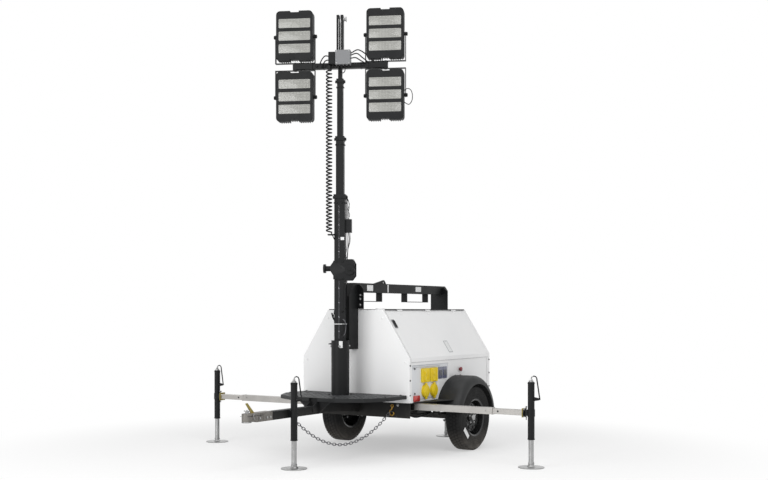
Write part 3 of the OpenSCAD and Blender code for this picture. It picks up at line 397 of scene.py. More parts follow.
class Shape:
    """Small meshes with few faces, centred on their own axes, for pieces that repeat."""

    @staticmethod
    def turned(name: str, profile: Sequence[tuple[float, float]], sides: int = 12) -> bpy.types.Mesh:
        """Turns a profile about Z.

        Args:
            name: The mesh's name.
            profile: Radius and height of each point, from the lower end to the upper one.
            sides: Faces round the axis.

        Returns:
            A closed mesh.
        """
        return Shape.skin(name, [[(radius * math.cos(a), radius * math.sin(a), height) for a in around(sides)]
                                 for radius, height in profile], False)

    @staticmethod
    def head(kind: str) -> bpy.types.Mesh:
        """Returns the head of a bolt, screw or nut from the table."""
        sides, profile = HEADS[kind]
        return Shape.turned(kind, [(radius * MM, height * MM) for radius, height in profile], sides)

    @staticmethod
    def skin(name: str, rings: Sequence[Sequence[Point]], loop: bool = True, angle: float = 35.0) -> bpy.types.Mesh:
        """Skins closed rings of points, round to the first ring again or with a cap at each end."""
        bm = bmesh.new()
        verts = [[bm.verts.new(p) for p in ring] for ring in rings]
        for low, high in zip(verts, verts[1:] + verts[:1] * loop):
            for k in range(len(low)):
                j = (k + 1) % len(low)
                bm.faces.new((low[k], low[j], high[j], high[k]))
        if not loop:
            bm.faces.new(verts[0][::-1])
            bm.faces.new(verts[-1])
        return Shape.closed(bm, name, angle)

    @staticmethod
    def closed(bm: bmesh.types.BMesh, name: str, angle: float = 35.0) -> bpy.types.Mesh:
        """Welds a bmesh, points its faces outwards, shades it smooth up to an angle and returns it as a mesh."""
        bmesh.ops.remove_doubles(bm, verts=bm.verts, dist=1e-6)
        bmesh.ops.recalc_face_normals(bm, faces=bm.faces)
        mesh = bpy.data.meshes.new(name)
        bm.to_mesh(mesh)
        bm.free()
        mesh.polygons.foreach_set("use_smooth", [True] * len(mesh.polygons))
        mesh.set_sharp_from_angle(angle=math.radians(angle))
        return mesh

    @staticmethod
    def slab(name: str, outline: Sequence[tuple[float, float]], low: float, high: float,
             bevel: float = 0.0) -> bpy.types.Mesh:
        """Raises an outline in X and Y from one height to another, with its edges bevelled."""
        bm = bmesh.new()
        face = bm.faces.new([bm.verts.new((x, y, low)) for x, y in outline])
        grown = bmesh.ops.extrude_face_region(bm, geom=[face])
        raised = [v for v in grown["geom"] if isinstance(v, bmesh.types.BMVert)]
        bmesh.ops.translate(bm, verts=raised, vec=(0, 0, high - low))
        if bevel:
            sharp = [e for e in bm.edges if e.calc_face_angle(0) > math.radians(40)]
            bmesh.ops.bevel(bm, geom=sharp, offset=bevel, segments=2, affect="EDGES", profile=0.5)
        return Shape.closed(bm, name)

    @staticmethod
    def plate(name: str, width: float, depth: float, thick: float, corner: float = 0.0,
              bevel: float = 0.0) -> bpy.types.Mesh:
        """Returns a flat plate on Z zero, with rounded corners."""
        return Shape.slab(name, rounded(width, depth, corner), 0.0, thick, bevel)


def rounded(width: float, depth: float, corner: float, steps: int = 4) -> list[tuple[float, float]]:
    """Returns a rectangle's outline with its corners rounded."""
    if corner <= 0:
        x, y = width / 2, depth / 2
        return [(-x, -y), (x, -y), (x, y), (-x, y)]
    middles = [(width / 2 - corner, depth / 2 - corner, 0), (corner - width / 2, depth / 2 - corner, 90),
               (corner - width / 2, corner - depth / 2, 180), (width / 2 - corner, corner - depth / 2, 270)]
    outline = []
    for x, y, start in middles:
        for k in range(steps + 1):
            a = math.radians(start + 90 * k / steps)
            outline.append((x + corner * math.cos(a), y + corner * math.sin(a)))
    return outline


# Geometry Nodes trees

class Trees:
    """Geometry Nodes trees, each built once and used through modifiers."""

    @staticmethod
    def start(name: str, inputs: Sequence[tuple[str, str]]) -> tuple[bpy.types.NodeTree, bpy.types.Node]:
        """Starts a tree with a geometry input, the named inputs and a geometry output."""
        tree = bpy.data.node_groups.new(name, "GeometryNodeTree")
        face = tree.interface
        face.new_socket("Geometry", in_out="INPUT", socket_type="NodeSocketGeometry")
        for label, kind in inputs:
            face.new_socket(label, in_out="INPUT", socket_type=kind)
        face.new_socket("Geometry", in_out="OUTPUT", socket_type="NodeSocketGeometry")
        return tree, add(tree, "NodeGroupInput")

    @staticmethod
    def end(tree: bpy.types.NodeTree, shape: bpy.types.NodeSocket, finish: bpy.types.NodeSocket) -> None:
        """Ends a tree in Realize Instances and Set Material."""
        real = add(tree, "GeometryNodeRealizeInstances", {"Geometry": shape})
        dressed = add(tree, "GeometryNodeSetMaterial", {"Geometry": real.outputs["Geometry"], "Material": finish})
        add(tree, "NodeGroupOutput", {"Geometry": dressed.outputs["Geometry"]})

    @staticmethod
    def placing() -> bpy.types.NodeTree:
        """Stands one small piece on each point of a mesh, by the point's up, spin and size."""
        found = bpy.data.node_groups.get("placing")
        if found:
            return found
        tree, given = Trees.start("placing", [("Piece", "NodeSocketObject"), ("Finish", "NodeSocketMaterial")])
        piece = add(tree, "GeometryNodeObjectInfo", {"Object": given.outputs["Piece"]})
        up = add(tree, "GeometryNodeInputNamedAttribute", {"Name": "up"}, data_type="FLOAT_VECTOR")
        spin = add(tree, "GeometryNodeInputNamedAttribute", {"Name": "spin"}, data_type="FLOAT")
        size = add(tree, "GeometryNodeInputNamedAttribute", {"Name": "size"}, data_type="FLOAT")
        aimed = add(tree, "FunctionNodeAlignRotationToVector", {"Vector": up.outputs["Attribute"]}, axis="Z")
        turn = add(tree, "FunctionNodeAxisAngleToRotation", {"Axis": (0, 0, 1), "Angle": spin.outputs["Attribute"]})
        turned = add(tree, "FunctionNodeRotateRotation", {"Rotation": aimed.outputs["Rotation"],
                                                          "Rotate By": turn.outputs["Rotation"]},
                     rotation_space="LOCAL")
        placed = add(tree, "GeometryNodeInstanceOnPoints", {
            "Points": given.outputs["Geometry"],
            "Instance": piece.outputs["Geometry"],
            "Rotation": turned.outputs["Rotation"],
            "Scale": size.outputs["Attribute"],
        })
        Trees.end(tree, placed.outputs["Instances"], given.outputs["Finish"])
        return tree

    @staticmethod
    def tube() -> bpy.types.NodeTree:
        """Draws a round tube along a run of edges."""
        found = bpy.data.node_groups.get("tube")
        if found:
            return found
        tree, given = Trees.start("tube", [("Radius", "NodeSocketFloat"), ("Sides", "NodeSocketInt"),
                                           ("Finish", "NodeSocketMaterial")])
        line = add(tree, "GeometryNodeMeshToCurve", {"Mesh": given.outputs["Geometry"]})
        ring = add(tree, "GeometryNodeCurvePrimitiveCircle", {"Resolution": given.outputs["Sides"],
                                                              "Radius": given.outputs["Radius"]})
        skin = add(tree, "GeometryNodeCurveToMesh", {"Curve": line.outputs["Curve"],
                                                     "Profile Curve": ring.outputs["Curve"], "Fill Caps": True})
        smooth = add(tree, "GeometryNodeSetShadeSmooth", {"Geometry": skin.outputs["Mesh"]})
        Trees.end(tree, smooth.outputs["Geometry"], given.outputs["Finish"])
        return tree

    @staticmethod
    def chain() -> bpy.types.NodeTree:
        """Hangs oval wire links along a run of edges, every second one turned by a quarter."""
        found = bpy.data.node_groups.get("chain")
        if found:
            return found
        tree, given = Trees.start("chain", [("Links", "NodeSocketInt"), ("Length", "NodeSocketFloat"),
                                            ("Width", "NodeSocketFloat"), ("Wire", "NodeSocketFloat"),
                                            ("Finish", "NodeSocketMaterial")])
        line = add(tree, "GeometryNodeMeshToCurve", {"Mesh": given.outputs["Geometry"]})
        spots = add(tree, "GeometryNodeResampleCurve", {"Curve": line.outputs["Curve"],
                                                        "Count": given.outputs["Links"]})
        oval = add(tree, "GeometryNodeCurvePrimitiveQuadrilateral", {"Width": given.outputs["Length"],
                                                                     "Height": given.outputs["Width"]})
        half = add(tree, "ShaderNodeMath", {0: given.outputs["Width"], 1: 0.499}, operation="MULTIPLY")
        bent = add(tree, "GeometryNodeFilletCurve", {"Curve": oval.outputs["Curve"], "Radius": half.outputs["Value"],
                                                     "Count": 4}, mode="POLY")
        wire = add(tree, "GeometryNodeCurvePrimitiveCircle", {"Resolution": 8, "Radius": given.outputs["Wire"]})
        link = add(tree, "GeometryNodeCurveToMesh", {"Curve": bent.outputs["Curve"],
                                                     "Profile Curve": wire.outputs["Curve"]})
        smooth = add(tree, "GeometryNodeSetShadeSmooth", {"Geometry": link.outputs["Mesh"]})
        along = add(tree, "GeometryNodeInputTangent")
        aimed = add(tree, "FunctionNodeAlignRotationToVector", {"Vector": along.outputs["Tangent"]}, axis="X")
        number = add(tree, "GeometryNodeInputIndex")
        odd = add(tree, "ShaderNodeMath", {0: number.outputs["Index"], 1: 2.0}, operation="MODULO")
        quarter = add(tree, "ShaderNodeMath", {0: odd.outputs["Value"], 1: math.pi / 2}, operation="MULTIPLY")
        turn = add(tree, "FunctionNodeAxisAngleToRotation", {"Axis": (1, 0, 0), "Angle": quarter.outputs["Value"]})
        turned = add(tree, "FunctionNodeRotateRotation", {"Rotation": aimed.outputs["Rotation"],
                                                          "Rotate By": turn.outputs["Rotation"]},
                     rotation_space="LOCAL")
        placed = add(tree, "GeometryNodeInstanceOnPoints", {"Points": spots.outputs["Curve"],
                                                            "Instance": smooth.outputs["Geometry"],
                                                            "Rotation": turned.outputs["Rotation"]})
        Trees.end(tree, placed.outputs["Instances"], given.outputs["Finish"])
        return tree


@dataclass
class Workshop:
    """Builds pieces, dresses them and fastens them to the frame's bodies.

    Attributes:
        made: Names of the pieces built so far.
    """

    frame: dict
    made: list[str] = field(default_factory=list)

    def body_of(self, node: str) -> str:
        """Returns the body that a CAD node rides on."""
        bodies = self.frame["record"]["behaviour"]["bodies"]
        return next(body for body, members in bodies.items() if node in members)

    def slot_of(self, node: str) -> str:
        """Returns the record's material slot of a CAD node."""
        return next(p["material_slot"] for p in self.frame["record"]["subparts"] if p["node"] == node)

    def fasten(self, obj: bpy.types.Object, body: str, slot: str = "") -> bpy.types.Object:
        """Makes a finished object ride on a body and logs it."""
        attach(obj, body)
        self.made.append(obj.name)
        LOG.info("%s rides on %s", obj.name, body)
        return obj

    def piece(self, name: str, mesh: bpy.types.Mesh, finish: Finish, body: str, slot: str = "",
              place: Matrix | None = None) -> bpy.types.Object:
        """Adds a mesh as one piece.

        Args:
            name: The piece's name.
            mesh: Its mesh.
            finish: Its finish.
            body: The body it rides on.
            slot: The record's slot of its finish; not used.
            place: Where the mesh goes, written into its points.

        Returns:
            The object, at the origin.
        """
        if place:
            mesh.transform(place)
            if place.determinant() < 0:
                mesh.flip_normals()
        mesh.materials.clear()
        mesh.materials.append(finish.material())
        obj = bpy.data.objects.new(name, mesh)
        bpy.context.scene.collection.objects.link(obj)
        return self.fasten(obj, body, slot)

    def realised(self, host: bpy.types.Object, name: str) -> bpy.types.Object:
        """Turns an object with a Geometry Nodes modifier into a plain mesh object at the origin."""
        graph = bpy.context.evaluated_depsgraph_get()
        mesh = bpy.data.meshes.new_from_object(host.evaluated_get(graph), depsgraph=graph)
        bpy.data.objects.remove(host)
        mesh.name = name
        obj = bpy.data.objects.new(name, mesh)
        bpy.context.scene.collection.objects.link(obj)
        return obj

    def host(self, points: Sequence[Vector], edges: Sequence[tuple[int, int]], tree: bpy.types.NodeTree,
             inputs: dict[str, object]) -> bpy.types.Object:
        """Makes an object of bare points or edges with a Geometry Nodes modifier whose inputs are set."""
        mesh = bpy.data.meshes.new("host")
        mesh.from_pydata([tuple(p) for p in points], list(edges), [])
        obj = bpy.data.objects.new("host", mesh)
        bpy.context.scene.collection.objects.link(obj)
        modifier = obj.modifiers.new("nodes", "NODES")
        modifier.node_group = tree
        for item in tree.interface.items_tree:
            if item.in_out == "INPUT" and item.name in inputs:
                modifier[item.identifier] = inputs[item.name]
        return obj

    def placed(self, name: str, shape: bpy.types.Mesh, spots: Iterable[Spot], finish: Finish, body: str,
               slot: str = "") -> bpy.types.Object:
        """Stands a small shape on many spots as one mesh."""
        spots = list(spots)
        stamp = bpy.data.objects.new("stamp", shape)
        bpy.context.scene.collection.objects.link(stamp)
        host = self.host([Vector(s.at) for s in spots], [], Trees.placing(),
                         {"Piece": stamp, "Finish": finish.material()})
        up = host.data.attributes.new("up", "FLOAT_VECTOR", "POINT")
        up.data.foreach_set("vector", [c for s in spots for c in s.up])
        for label in ("spin", "size"):
            layer = host.data.attributes.new(label, "FLOAT", "POINT")
            layer.data.foreach_set("value", [getattr(s, label) for s in spots])
        obj = self.realised(host, name)
        bpy.data.objects.remove(stamp)
        return self.fasten(obj, body, slot)

    def pipe(self, name: str, path: Sequence[Vector], radius: float, finish: Finish, sides: int = 10
             ) -> bpy.types.Object:
        """Draws a round tube along a path, not yet fastened to a body."""
        edges = [(i, i + 1) for i in range(len(path) - 1)]
        host = self.host(path, edges, Trees.tube(), {"Radius": radius, "Sides": sides, "Finish": finish.material()})
        return self.realised(host, name)

    def rod(self, name: str, points: Sequence[Point], radius: float, finish: Finish, body: str, slot: str = "",
            steps: int = 6, sides: int = 10) -> bpy.types.Object:
        """Draws a stiff bent rod through the points and fastens it."""
        path = curve_points(points, steps) if steps > 1 else [Vector(p) for p in points]
        return self.fasten(self.pipe(name, path, radius, finish, sides), body, slot)

    def lead(self, name: str, points: Sequence[Point], diameter: float, bodies: Sequence[str],
             finish: Finish = BLACK_RUBBER_AND_SHADE) -> bpy.types.Object:
        """Args:
            name: The piece's name.
            points: The route, from its exit to where it goes back in.
            diameter: Its thickness.
            bodies: The body it rides on, or the two that it runs between.
            finish: Its jacket.

        Returns:
            The cable.
        """
        path = curve_points(points, 8)
        obj = self.pipe(name, path, diameter / 2, finish, 8)
        if len(bodies) == 2:
            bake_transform(obj)
            self.made.append(name)
        else:
            self.fasten(obj, bodies[0])
        return obj

    def softened(self, node: str, finish: Finish, width: float = 1.5 * MM, zones: Sequence[Zone] = ()
                 ) -> bpy.types.Object:
        """Stands a copy of a CAD node in its place with its edges rounded, as folded or welded metal has.

        Args:
            node: The CAD node that the copy replaces.
            finish: Its main finish.
            width: Width of the rounding.
            zones: Faces with another finish.

        Returns:
            The copy.
        """
        mesh = self.frame["nodes"][node].data.copy()
        bm = bmesh.new()
        bm.from_mesh(mesh)
        bmesh.ops.remove_doubles(bm, verts=bm.verts, dist=1e-5)
        bmesh.ops.dissolve_limit(bm, angle_limit=math.radians(0.4), verts=bm.verts, edges=bm.edges)
        bm.to_mesh(mesh)
        bm.free()
        mesh.materials.clear()
        for used in [finish, *(z.finish for z in zones)]:
            mesh.materials.append(used.material())
        for face in mesh.polygons:
            face.use_smooth = True
            face.material_index = next((i + 1 for i, z in enumerate(zones) if z.holds(face.center)), 0)
        mesh.set_sharp_from_angle(angle=math.radians(30))
        obj = bpy.data.objects.new(f"{node}_shell", mesh)
        bpy.context.scene.collection.objects.link(obj)
        bevel = obj.modifiers.new("rounding", "BEVEL")
        bevel.width = width
        bevel.segments = 2
        bevel.limit_method = "ANGLE"
        bevel.angle_limit = math.radians(35)
        bevel.use_clamp_overlap = True
        bevel.harden_normals = False
        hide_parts(node)
        return self.fasten(obj, self.body_of(node))


# Sub-assemblies

@dataclass
class Skins:
    """Rounded and dressed copies of the CAD nodes that keep their shape.

    Attributes:
        shop: The workshop.
        skipped: Nodes that another class replaces.
        rounding: Width of an edge's rounding in millimetres, by the start of a node's name.
    """

    shop: Workshop
    skipped: tuple[str, ...] = ("tyre_left", "tyre_right", "safety_chain", "coiled_cable")
    rounding: dict[str, float] = field(default_factory=lambda: {
        "cabinet_": 3.0, "door_": 3.0, "roof": 2.0, "lamp_": 3.0, "arm_": 3.5, "mast_stage_": 3.0, "lift_frame": 3.0,
        "fender_": 5.0, "yoke_": 1.2, "engine_block": 12.0, "coupler": 4.0, "junction_box": 3.0,
    })

    def zones(self, node: str) -> list[Zone]:
        """Returns the faces of a node that have another finish than its slot's."""
        if node.startswith("jack_body_"):
            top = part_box(node)[1].z - 0.0547
            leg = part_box(node.replace("body", "leg"))
            x = (leg[0].x + leg[1].x) / 2
            pin = abs(x) - 0.062
            return [
                Zone(lambda c: abs(c.z - 0.578) < 0.0185 and 0.029 < c.x - x < 0.0745, BLACK_RUBBER_AND_SHADE),
                Zone(lambda c: c.z > top and c.x - x < 0.021, ZINC_ROUND),
                Zone(lambda c: 0.004 < abs(c.x) - pin < 0.026 and 0.0245 < abs(c.z - ARM_Z) < 0.1, ZINC_ROUND),
            ]
        if node == "road_lamps":
            return [Zone(lambda c: c.y < 0.0 and abs(c.x) > 0.5, WHITE_VINYL)]
        if node == "coupler":
            return [Zone(lambda c: c.z > 0.503, GOLD_ZINC)]
        if node.startswith("arm_inner_"):
            return [Zone(lambda c: abs(c.x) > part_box(node)[1].x - 0.0309 if c.x > 0 else
                         abs(c.x) > -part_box(node)[0].x - 0.0309, GOLD_ZINC)]
        if node == "outlet_panel":
            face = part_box(node)[1].x - 0.018
            return [
                Zone(lambda c: c.x > face - 0.0005 and c.y > 0.40, SMOKED_WINDOW),
                Zone(lambda c: c.x > face - 0.0005 and c.z < 0.808, YELLOW_PLASTIC),
            ]
        if node == "junction_box":
            a = math.radians(MAST_TURN)
            return [Zone(lambda c: c.x * math.cos(a) + (c.y - POST_Y) * math.sin(a) < -0.0302, LAMP_COAT)]
        if node == "mast_head":
            return [Zone(lambda c: c.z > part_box(node)[1].z - 0.075 and c.x > 0.03, ZINC_ROUND)]
        return []

    def build(self) -> None:
        """Builds every skin."""
        for node in sorted(self.shop.frame["nodes"]):
            if node in self.skipped:
                continue
            finish = OWN_FINISH.get(node, SLOT_FINISH[self.shop.slot_of(node)])
            width = next((w for start, w in self.rounding.items() if node.startswith(start)), 1.5)
            self.shop.softened(node, finish, width * MM, self.zones(node))


@dataclass
class Wheels:
    """Two road wheels: tyre with tread blocks and moulded rings, and what is bolted to the rim.

    Attributes:
        shop: The workshop.
        block_rows: Distances of the tread's rows from the wheel's middle plane.
        blocks: Blocks round the tyre in each row.
        tread: Depth of the tread.
        nuts: Number of wheel nuts.
    """

    shop: Workshop
    block_rows: tuple[float, ...] = (-0.0495, -0.0175, 0.0175, 0.0495)
    blocks: int = 56
    tread: float = 0.0075
    nuts: int = 5

    def build(self) -> None:
        """Builds both wheels."""
        for side in SIDES:
            self._wheel(side)

    def _wheel(self, side: str) -> None:
        """Builds one wheel's pieces."""
        low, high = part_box(f"tyre_{side}")
        middle = (low + high) / 2
        radius = (high.z - low.z) / 2
        half = (high.x - low.x) / 2
        rim_low, rim_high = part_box(f"rim_{side}")
        seat = (rim_high.z - rim_low.z) / 2 - 0.01
        out = SIDES[side]
        body = f"wheel_{side}"
        upright = Matrix.Translation(middle) @ Matrix.Rotation(math.radians(90 * out), 4, "Y")
        carcass = self._carcass(radius, half, seat)
        tyre = self.shop.piece(f"tyre_{side}_carcass", carcass, TYRE_RUBBER, body, "tyre", upright)
        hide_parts(f"tyre_{side}")
        self._blocks(side, body, middle, radius)
        nut = Shape.head("wheel_nut")
        face = 0.034
        spots = []
        for k in range(self.nuts):
            a = 2 * math.pi * k / self.nuts + 0.3
            at = middle + Vector((out * face, 0.057 * math.cos(a), 0.057 * math.sin(a)))
            spots.append(Spot(at, (out, 0, 0)))
        self.shop.placed(f"wheel_nuts_{side}", nut, spots, ZINC_ROUND, body, "zinc_steel")
        windows = []
        for k in range(8):
            a = 2 * math.pi * (k + 0.5) / 8
            at = middle + Vector((out * self.disc_face(side), 0.098 * math.cos(a), 0.098 * math.sin(a)))
            windows.append(Spot(at, (out, 0, 0)))
        # Black discs in the rim's vent holes: painted shade seen through the holes
        dark = Shape.turned("window", [(0.0165, 0.0), (0.0165, 0.0006), (0.001, 0.0008)], 18)
        self.shop.placed(f"rim_window_{side}", dark, windows, BLACK_RUBBER_AND_SHADE, body, "rim")
        lip = self._ring(0.0178, 0.0022, 18, 6)
        self.shop.placed(f"rim_window_lip_{side}", lip, windows, RIM_ENAMEL, body, "rim")
        cap = Shape.turned("cap", [(0.031, 0.0), (0.031, 0.016), (0.027, 0.024), (0.012, 0.028), (0.001, 0.0285)], 28)
        self.shop.piece(f"hub_cap_{side}", cap, ZINC_ROUND, body, "zinc_steel",
                        Matrix.Translation(middle + Vector((out * 0.04, 0, 0)))
                        @ Matrix.Rotation(math.radians(90 * out), 4, "Y"))
        foot = middle + Vector((out * 0.026, 0, -(seat - 0.028)))
        self.shop.rod(f"valve_stem_{side}", [foot, foot + Vector((out * 0.02, 0, 0.006)),
                                             foot + Vector((out * 0.036, 0, 0.014))], 0.0045, BLACK_RUBBER_AND_SHADE, body)
        tag = Shape.plate("tag", 0.12, 0.04, 0.0008, 0.003)
        tilt = Matrix(((0, 0, out), (0.69, 0.724 * out, 0), (-0.724, 0.69 * out, 0))).to_4x4()
        place = Matrix.Translation(middle + Vector((out * (half + 0.0004), -0.200, -0.128))) @ tilt
        self.shop.piece(f"bare_wheel_tag_{side}", tag, WHITE_VINYL, body, "", place)

    def disc_face(self, side: str) -> float:
        """Returns how far the rim's disc stands outside the wheel's middle plane, read from the CAD rim."""
        mesh = self.shop.frame["nodes"][f"rim_{side}"].data
        low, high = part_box(f"rim_{side}")
        middle = (low + high) / 2
        out = SIDES[side]
        near = [out * (v.co.x - middle.x) for v in mesh.vertices
                if math.hypot(v.co.y - middle.y, v.co.z - middle.z) < 0.13]
        return max(near)

    @staticmethod
    def _ring(radius: float, wire: float, sides: int, round_sides: int) -> bpy.types.Mesh:
        """Returns a ring of round wire about Z."""
        return Shape.skin("ring", [[((radius + wire * math.cos(b)) * math.cos(a),
                                     (radius + wire * math.cos(b)) * math.sin(a), wire * math.sin(b))
                                    for b in around(round_sides)] for a in around(sides)])

    def _carcass(self, radius: float, half: float, seat: float) -> bpy.types.Mesh:
        """Returns the tyre without its blocks, turned about Z, with its shoulder and sidewall rings."""
        crown = radius - self.tread
        wall = [(seat, -half + 0.022), (seat + 0.010, -half + 0.014), (seat + 0.018, -half + 0.0095)]
        for start, height in ((0.022, 0.0075), (0.036, 0.0045), (0.052, 0.0022), (0.068, 0.0006), (0.084, 0.0012)):
            wall += [(seat + start, -half + height + 0.003), (seat + start + 0.0015, -half + height),
                     (seat + start + 0.0095, -half + height), (seat + start + 0.011, -half + height + 0.003)]
        wall += [(radius - 0.034, -half + 0.0065), (radius - 0.022, -half + 0.0105), (crown - 0.006, -half + 0.024),
                 (crown, -half + 0.036)]
        crown_line = [(crown, -0.034), (crown, -0.033), (crown - 0.001, -0.0325), (crown - 0.001, 0.0325),
                      (crown, 0.033), (crown, 0.034)]
        inner = [(seat, half - 0.03), (seat + 0.02, half - 0.036), (seat + 0.02, 0.036 - half), (seat, 0.03 - half)]
        profile = [*wall, *crown_line, *[(r, -z) for r, z in reversed(wall)], *inner]
        return Shape.skin("carcass", [[(r * math.cos(a), r * math.sin(a), z) for r, z in profile]
                                      for a in around(96)], angle=32)

    def _blocks(self, side: str, body: str, middle: Vector, radius: float) -> None:
        """Stands the tread's blocks round the tyre, each row shifted against the next."""
        step = 2 * math.pi / self.blocks
        length = step * radius
        outline = [(-0.0135, -length * 0.44), (0.0135, -length * 0.30), (0.0135, length * 0.44),
                   (-0.0135, length * 0.30)]
        block = Shape.slab("block", outline, -0.004, 0.0, 0.0012)
        spots = []
        for row, x in enumerate(self.block_rows):
            drop = 0.0016 if abs(x) > 0.03 else 0.0005
            for k in range(self.blocks):
                a = step * (k + 0.5 * (row % 2))
                up = Vector((0, math.cos(a), math.sin(a)))
                at = middle + up * (radius - drop) + Vector((x, 0, 0))
                spots.append(Spot(at, up))
        tread = self._aligned(f"tyre_{side}_tread", block, spots, body)

    def _aligned(self, name: str, block: bpy.types.Mesh, spots: Sequence[Spot], body: str) -> bpy.types.Object:
        """Places blocks whose local X is kept along the axle."""
        turned = []
        for spot in spots:
            up = Vector(spot.up)
            aim = Vector((0, 0, 1)).rotation_difference(up)
            local_x = aim @ Vector((1, 0, 0))
            spin = local_x.angle(Vector((1, 0, 0)))
            if local_x.cross(Vector((1, 0, 0))).dot(up) < 0:
                spin = -spin
            turned.append(Spot(spot.at, spot.up, spin))
        return self.shop.placed(name, block, turned, TYRE_RUBBER, body)


@dataclass
class Cabinet:
    """What is fitted to the cabinet's sheets: latches, seals, screws, louvres, cap, button, plates and sockets.

    Attributes:
        shop: The workshop.
        latch_y: Distance of a latch's middle behind the cabinet's front face.
        latch_down: Distance of a latch's middle down the door from the roof's edge.
        plate_y: Distance of the bare plate's middle behind the cabinet's front face.
        roof_half: Half the width of the roof between the doors.
        crease: Height of the doors' lower edge, where the side panels begin.
        panel_inset: How far the side panels stand inside the end walls' edges.
    """

    shop: Workshop
    latch_y: float = 0.067
    latch_down: float = 0.152
    plate_y: float = 0.798
    roof_half: float = 0.305
    crease: float = 0.895
    panel_inset: float = 0.008

    def __post_init__(self) -> None:
        """Reads the cabinet's corners and the door's slope from the frame."""
        self.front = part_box("cabinet_front")[0].y
        self.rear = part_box("cabinet_rear")[1].y
        self.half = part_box("cabinet_front")[1].x
        self.roof_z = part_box("cabinet_front")[1].z
        self.side = self.half - self.panel_inset
        run, drop = self.half - self.roof_half, self.roof_z - self.crease
        self.slope = math.atan2(drop, run)

    def build(self) -> None:
        """Builds every fitting."""
        self._doors()
        self._seals()
        self._screws()
        self._louvres()
        self._roof_cap()
        self._stop_button()
        self._sockets()
        self._reflectors()
        self._rear_plate()

    def on_door(self, side: int, y: float, down: float, out: float = 0.0) -> Matrix:
        """Returns the place on a door's face, Z out of it and X down the slope.

        Args:
            side: 1 for the right door, -1 for the left.
            y: Distance behind the cabinet's front face.
            down: Distance down the door from the roof's edge.
            out: Distance out of the door's face.
        """
        c, s = math.cos(self.slope), math.sin(self.slope)
        normal = Vector((side * s, 0, c))
        along = Vector((side * c, 0, -s))
        at = Vector((side * self.roof_half, self.front + y, self.roof_z)) + along * down + normal * out
        across = normal.cross(along)
        return Matrix.Translation(at) @ Matrix((along, across, normal)).transposed().to_4x4()

    def _doors(self) -> None:
        """Fits a paddle latch and a bare plate to each door."""
        for side, name in ((1, "right"), (-1, "left")):
            body = f"door_{name}"
            tray = Shape.plate("tray", 0.092, 0.05, 0.004, 0.007, 0.001)
            self.shop.piece(f"latch_tray_{name}", tray, GREY_ABS, body, "",
                            self.on_door(side, self.latch_y, self.latch_down))
            paddle = Shape.slab("paddle", rounded(0.07, 0.034, 0.005), 0.0, 0.006, 0.0015)
            self.shop.piece(f"latch_paddle_{name}", paddle, LAMP_COAT, body, "",
                            self.on_door(side, self.latch_y, self.latch_down, 0.004))
            lock = Shape.turned("lock", [(0.008, 0.0), (0.008, 0.004), (0.006, 0.005), (0.001, 0.005)], 16)
            self.shop.piece(f"latch_lock_{name}", lock, BLACK_RUBBER_AND_SHADE, body, "",
                            self.on_door(side, self.latch_y, self.latch_down - 0.022, 0.01))
            border = Shape.plate("border", 0.128, 0.074, 0.0008, 0.004)
            self.shop.piece(f"bare_plate_border_{name}", border, GREY_VINYL, body, "",
                            self.on_door(side, self.plate_y, 0.415))
            field_plate = Shape.plate("field", 0.116, 0.062, 0.0008, 0.003)
            self.shop.piece(f"bare_plate_{name}", field_plate, WHITE_VINYL, body, "",
                            self.on_door(side, self.plate_y, 0.415, 0.0006))

    def _seals(self) -> None:
        """Lays black rubber strips in the gap at each door's top, where they also serve as painted shade of the gap's
        shadow line, and along the side panels' upper edges.
        """
        for side, name in ((1, "right"), (-1, "left")):
            x = side * (self.roof_half + 0.005)
            span = (self.front + 0.033, self.rear - 0.033)
            z = self.roof_z + 0.0025
            # The black door seal also serves as painted shade of the gap's shadow line
            self.shop.rod(f"door_seal_{name}", [(x, span[0], z), (x, span[1], z)], 0.0055, BLACK_RUBBER_AND_SHADE, "root", "",
                          1, 8)
            low = self.crease - 0.036
            x = side * (self.side + 0.0015)
            self.shop.rod(f"panel_seal_{name}", [(x, span[0] + 0.02, low), (x, span[1] - 0.02, low)], 0.0028,
                          BLACK_RUBBER_AND_SHADE, "root", "", 1, 8)

    def _screws(self) -> None:
        """Sets the black screws of the corner strips and the outlet panel."""
        head = Shape.head("cabinet_screw")
        heights = (0.562, 0.696, 0.829)
        spots = [Spot((s * self.half, y, z), (s, 0, 0)) for s in (-1, 1)
                 for y in (self.front + 0.012, self.rear - 0.012) for z in heights]
        spots += [Spot((self.side, self.front + 0.106, z), (1, 0, 0)) for z in (0.574, 0.797)]
        spots += [Spot((-self.side, y, z), (-1, 0, 0)) for y in (self.front + 0.1, self.rear - 0.1)
                  for z in (0.574, 0.797)]
        self.shop.placed("cabinet_screws", head, spots, BLACK_RUBBER_AND_SHADE, "root")
        wall = [Spot((x, y, z), (0, d, 0)) for y, d in ((self.front, -1), (self.rear, 1))
                for x, z in ((-0.54, 0.55), (0.54, 0.55), (-0.54, 0.86), (0.54, 0.86), (-0.3, 1.25), (0.3, 1.25))]
        self.shop.placed("end_wall_screws", head, wall, WHITE_PAINT, "root", "white_steel")

    def _louvres(self) -> None:
        """Presses louvres for cooling air into the rear wall and the left side panel."""
        louvre = self._louvre(0.15, 0.02, 0.009)
        rear = [Spot((x, self.rear, 0.62 + 0.036 * k), (0, 1, 0)) for x in (-0.19, 0.0, 0.19)
                for k in range(9)]
        self._pressed("rear_louvres", louvre, rear)
        side = [Spot((-self.side, self.front + 0.30 + 0.19 * c, 0.60 + 0.034 * k), (-1, 0, 0)) for c in range(3)
                for k in range(7)]
        self._pressed("side_louvres", self._louvre(0.15, 0.02, 0.007), side)

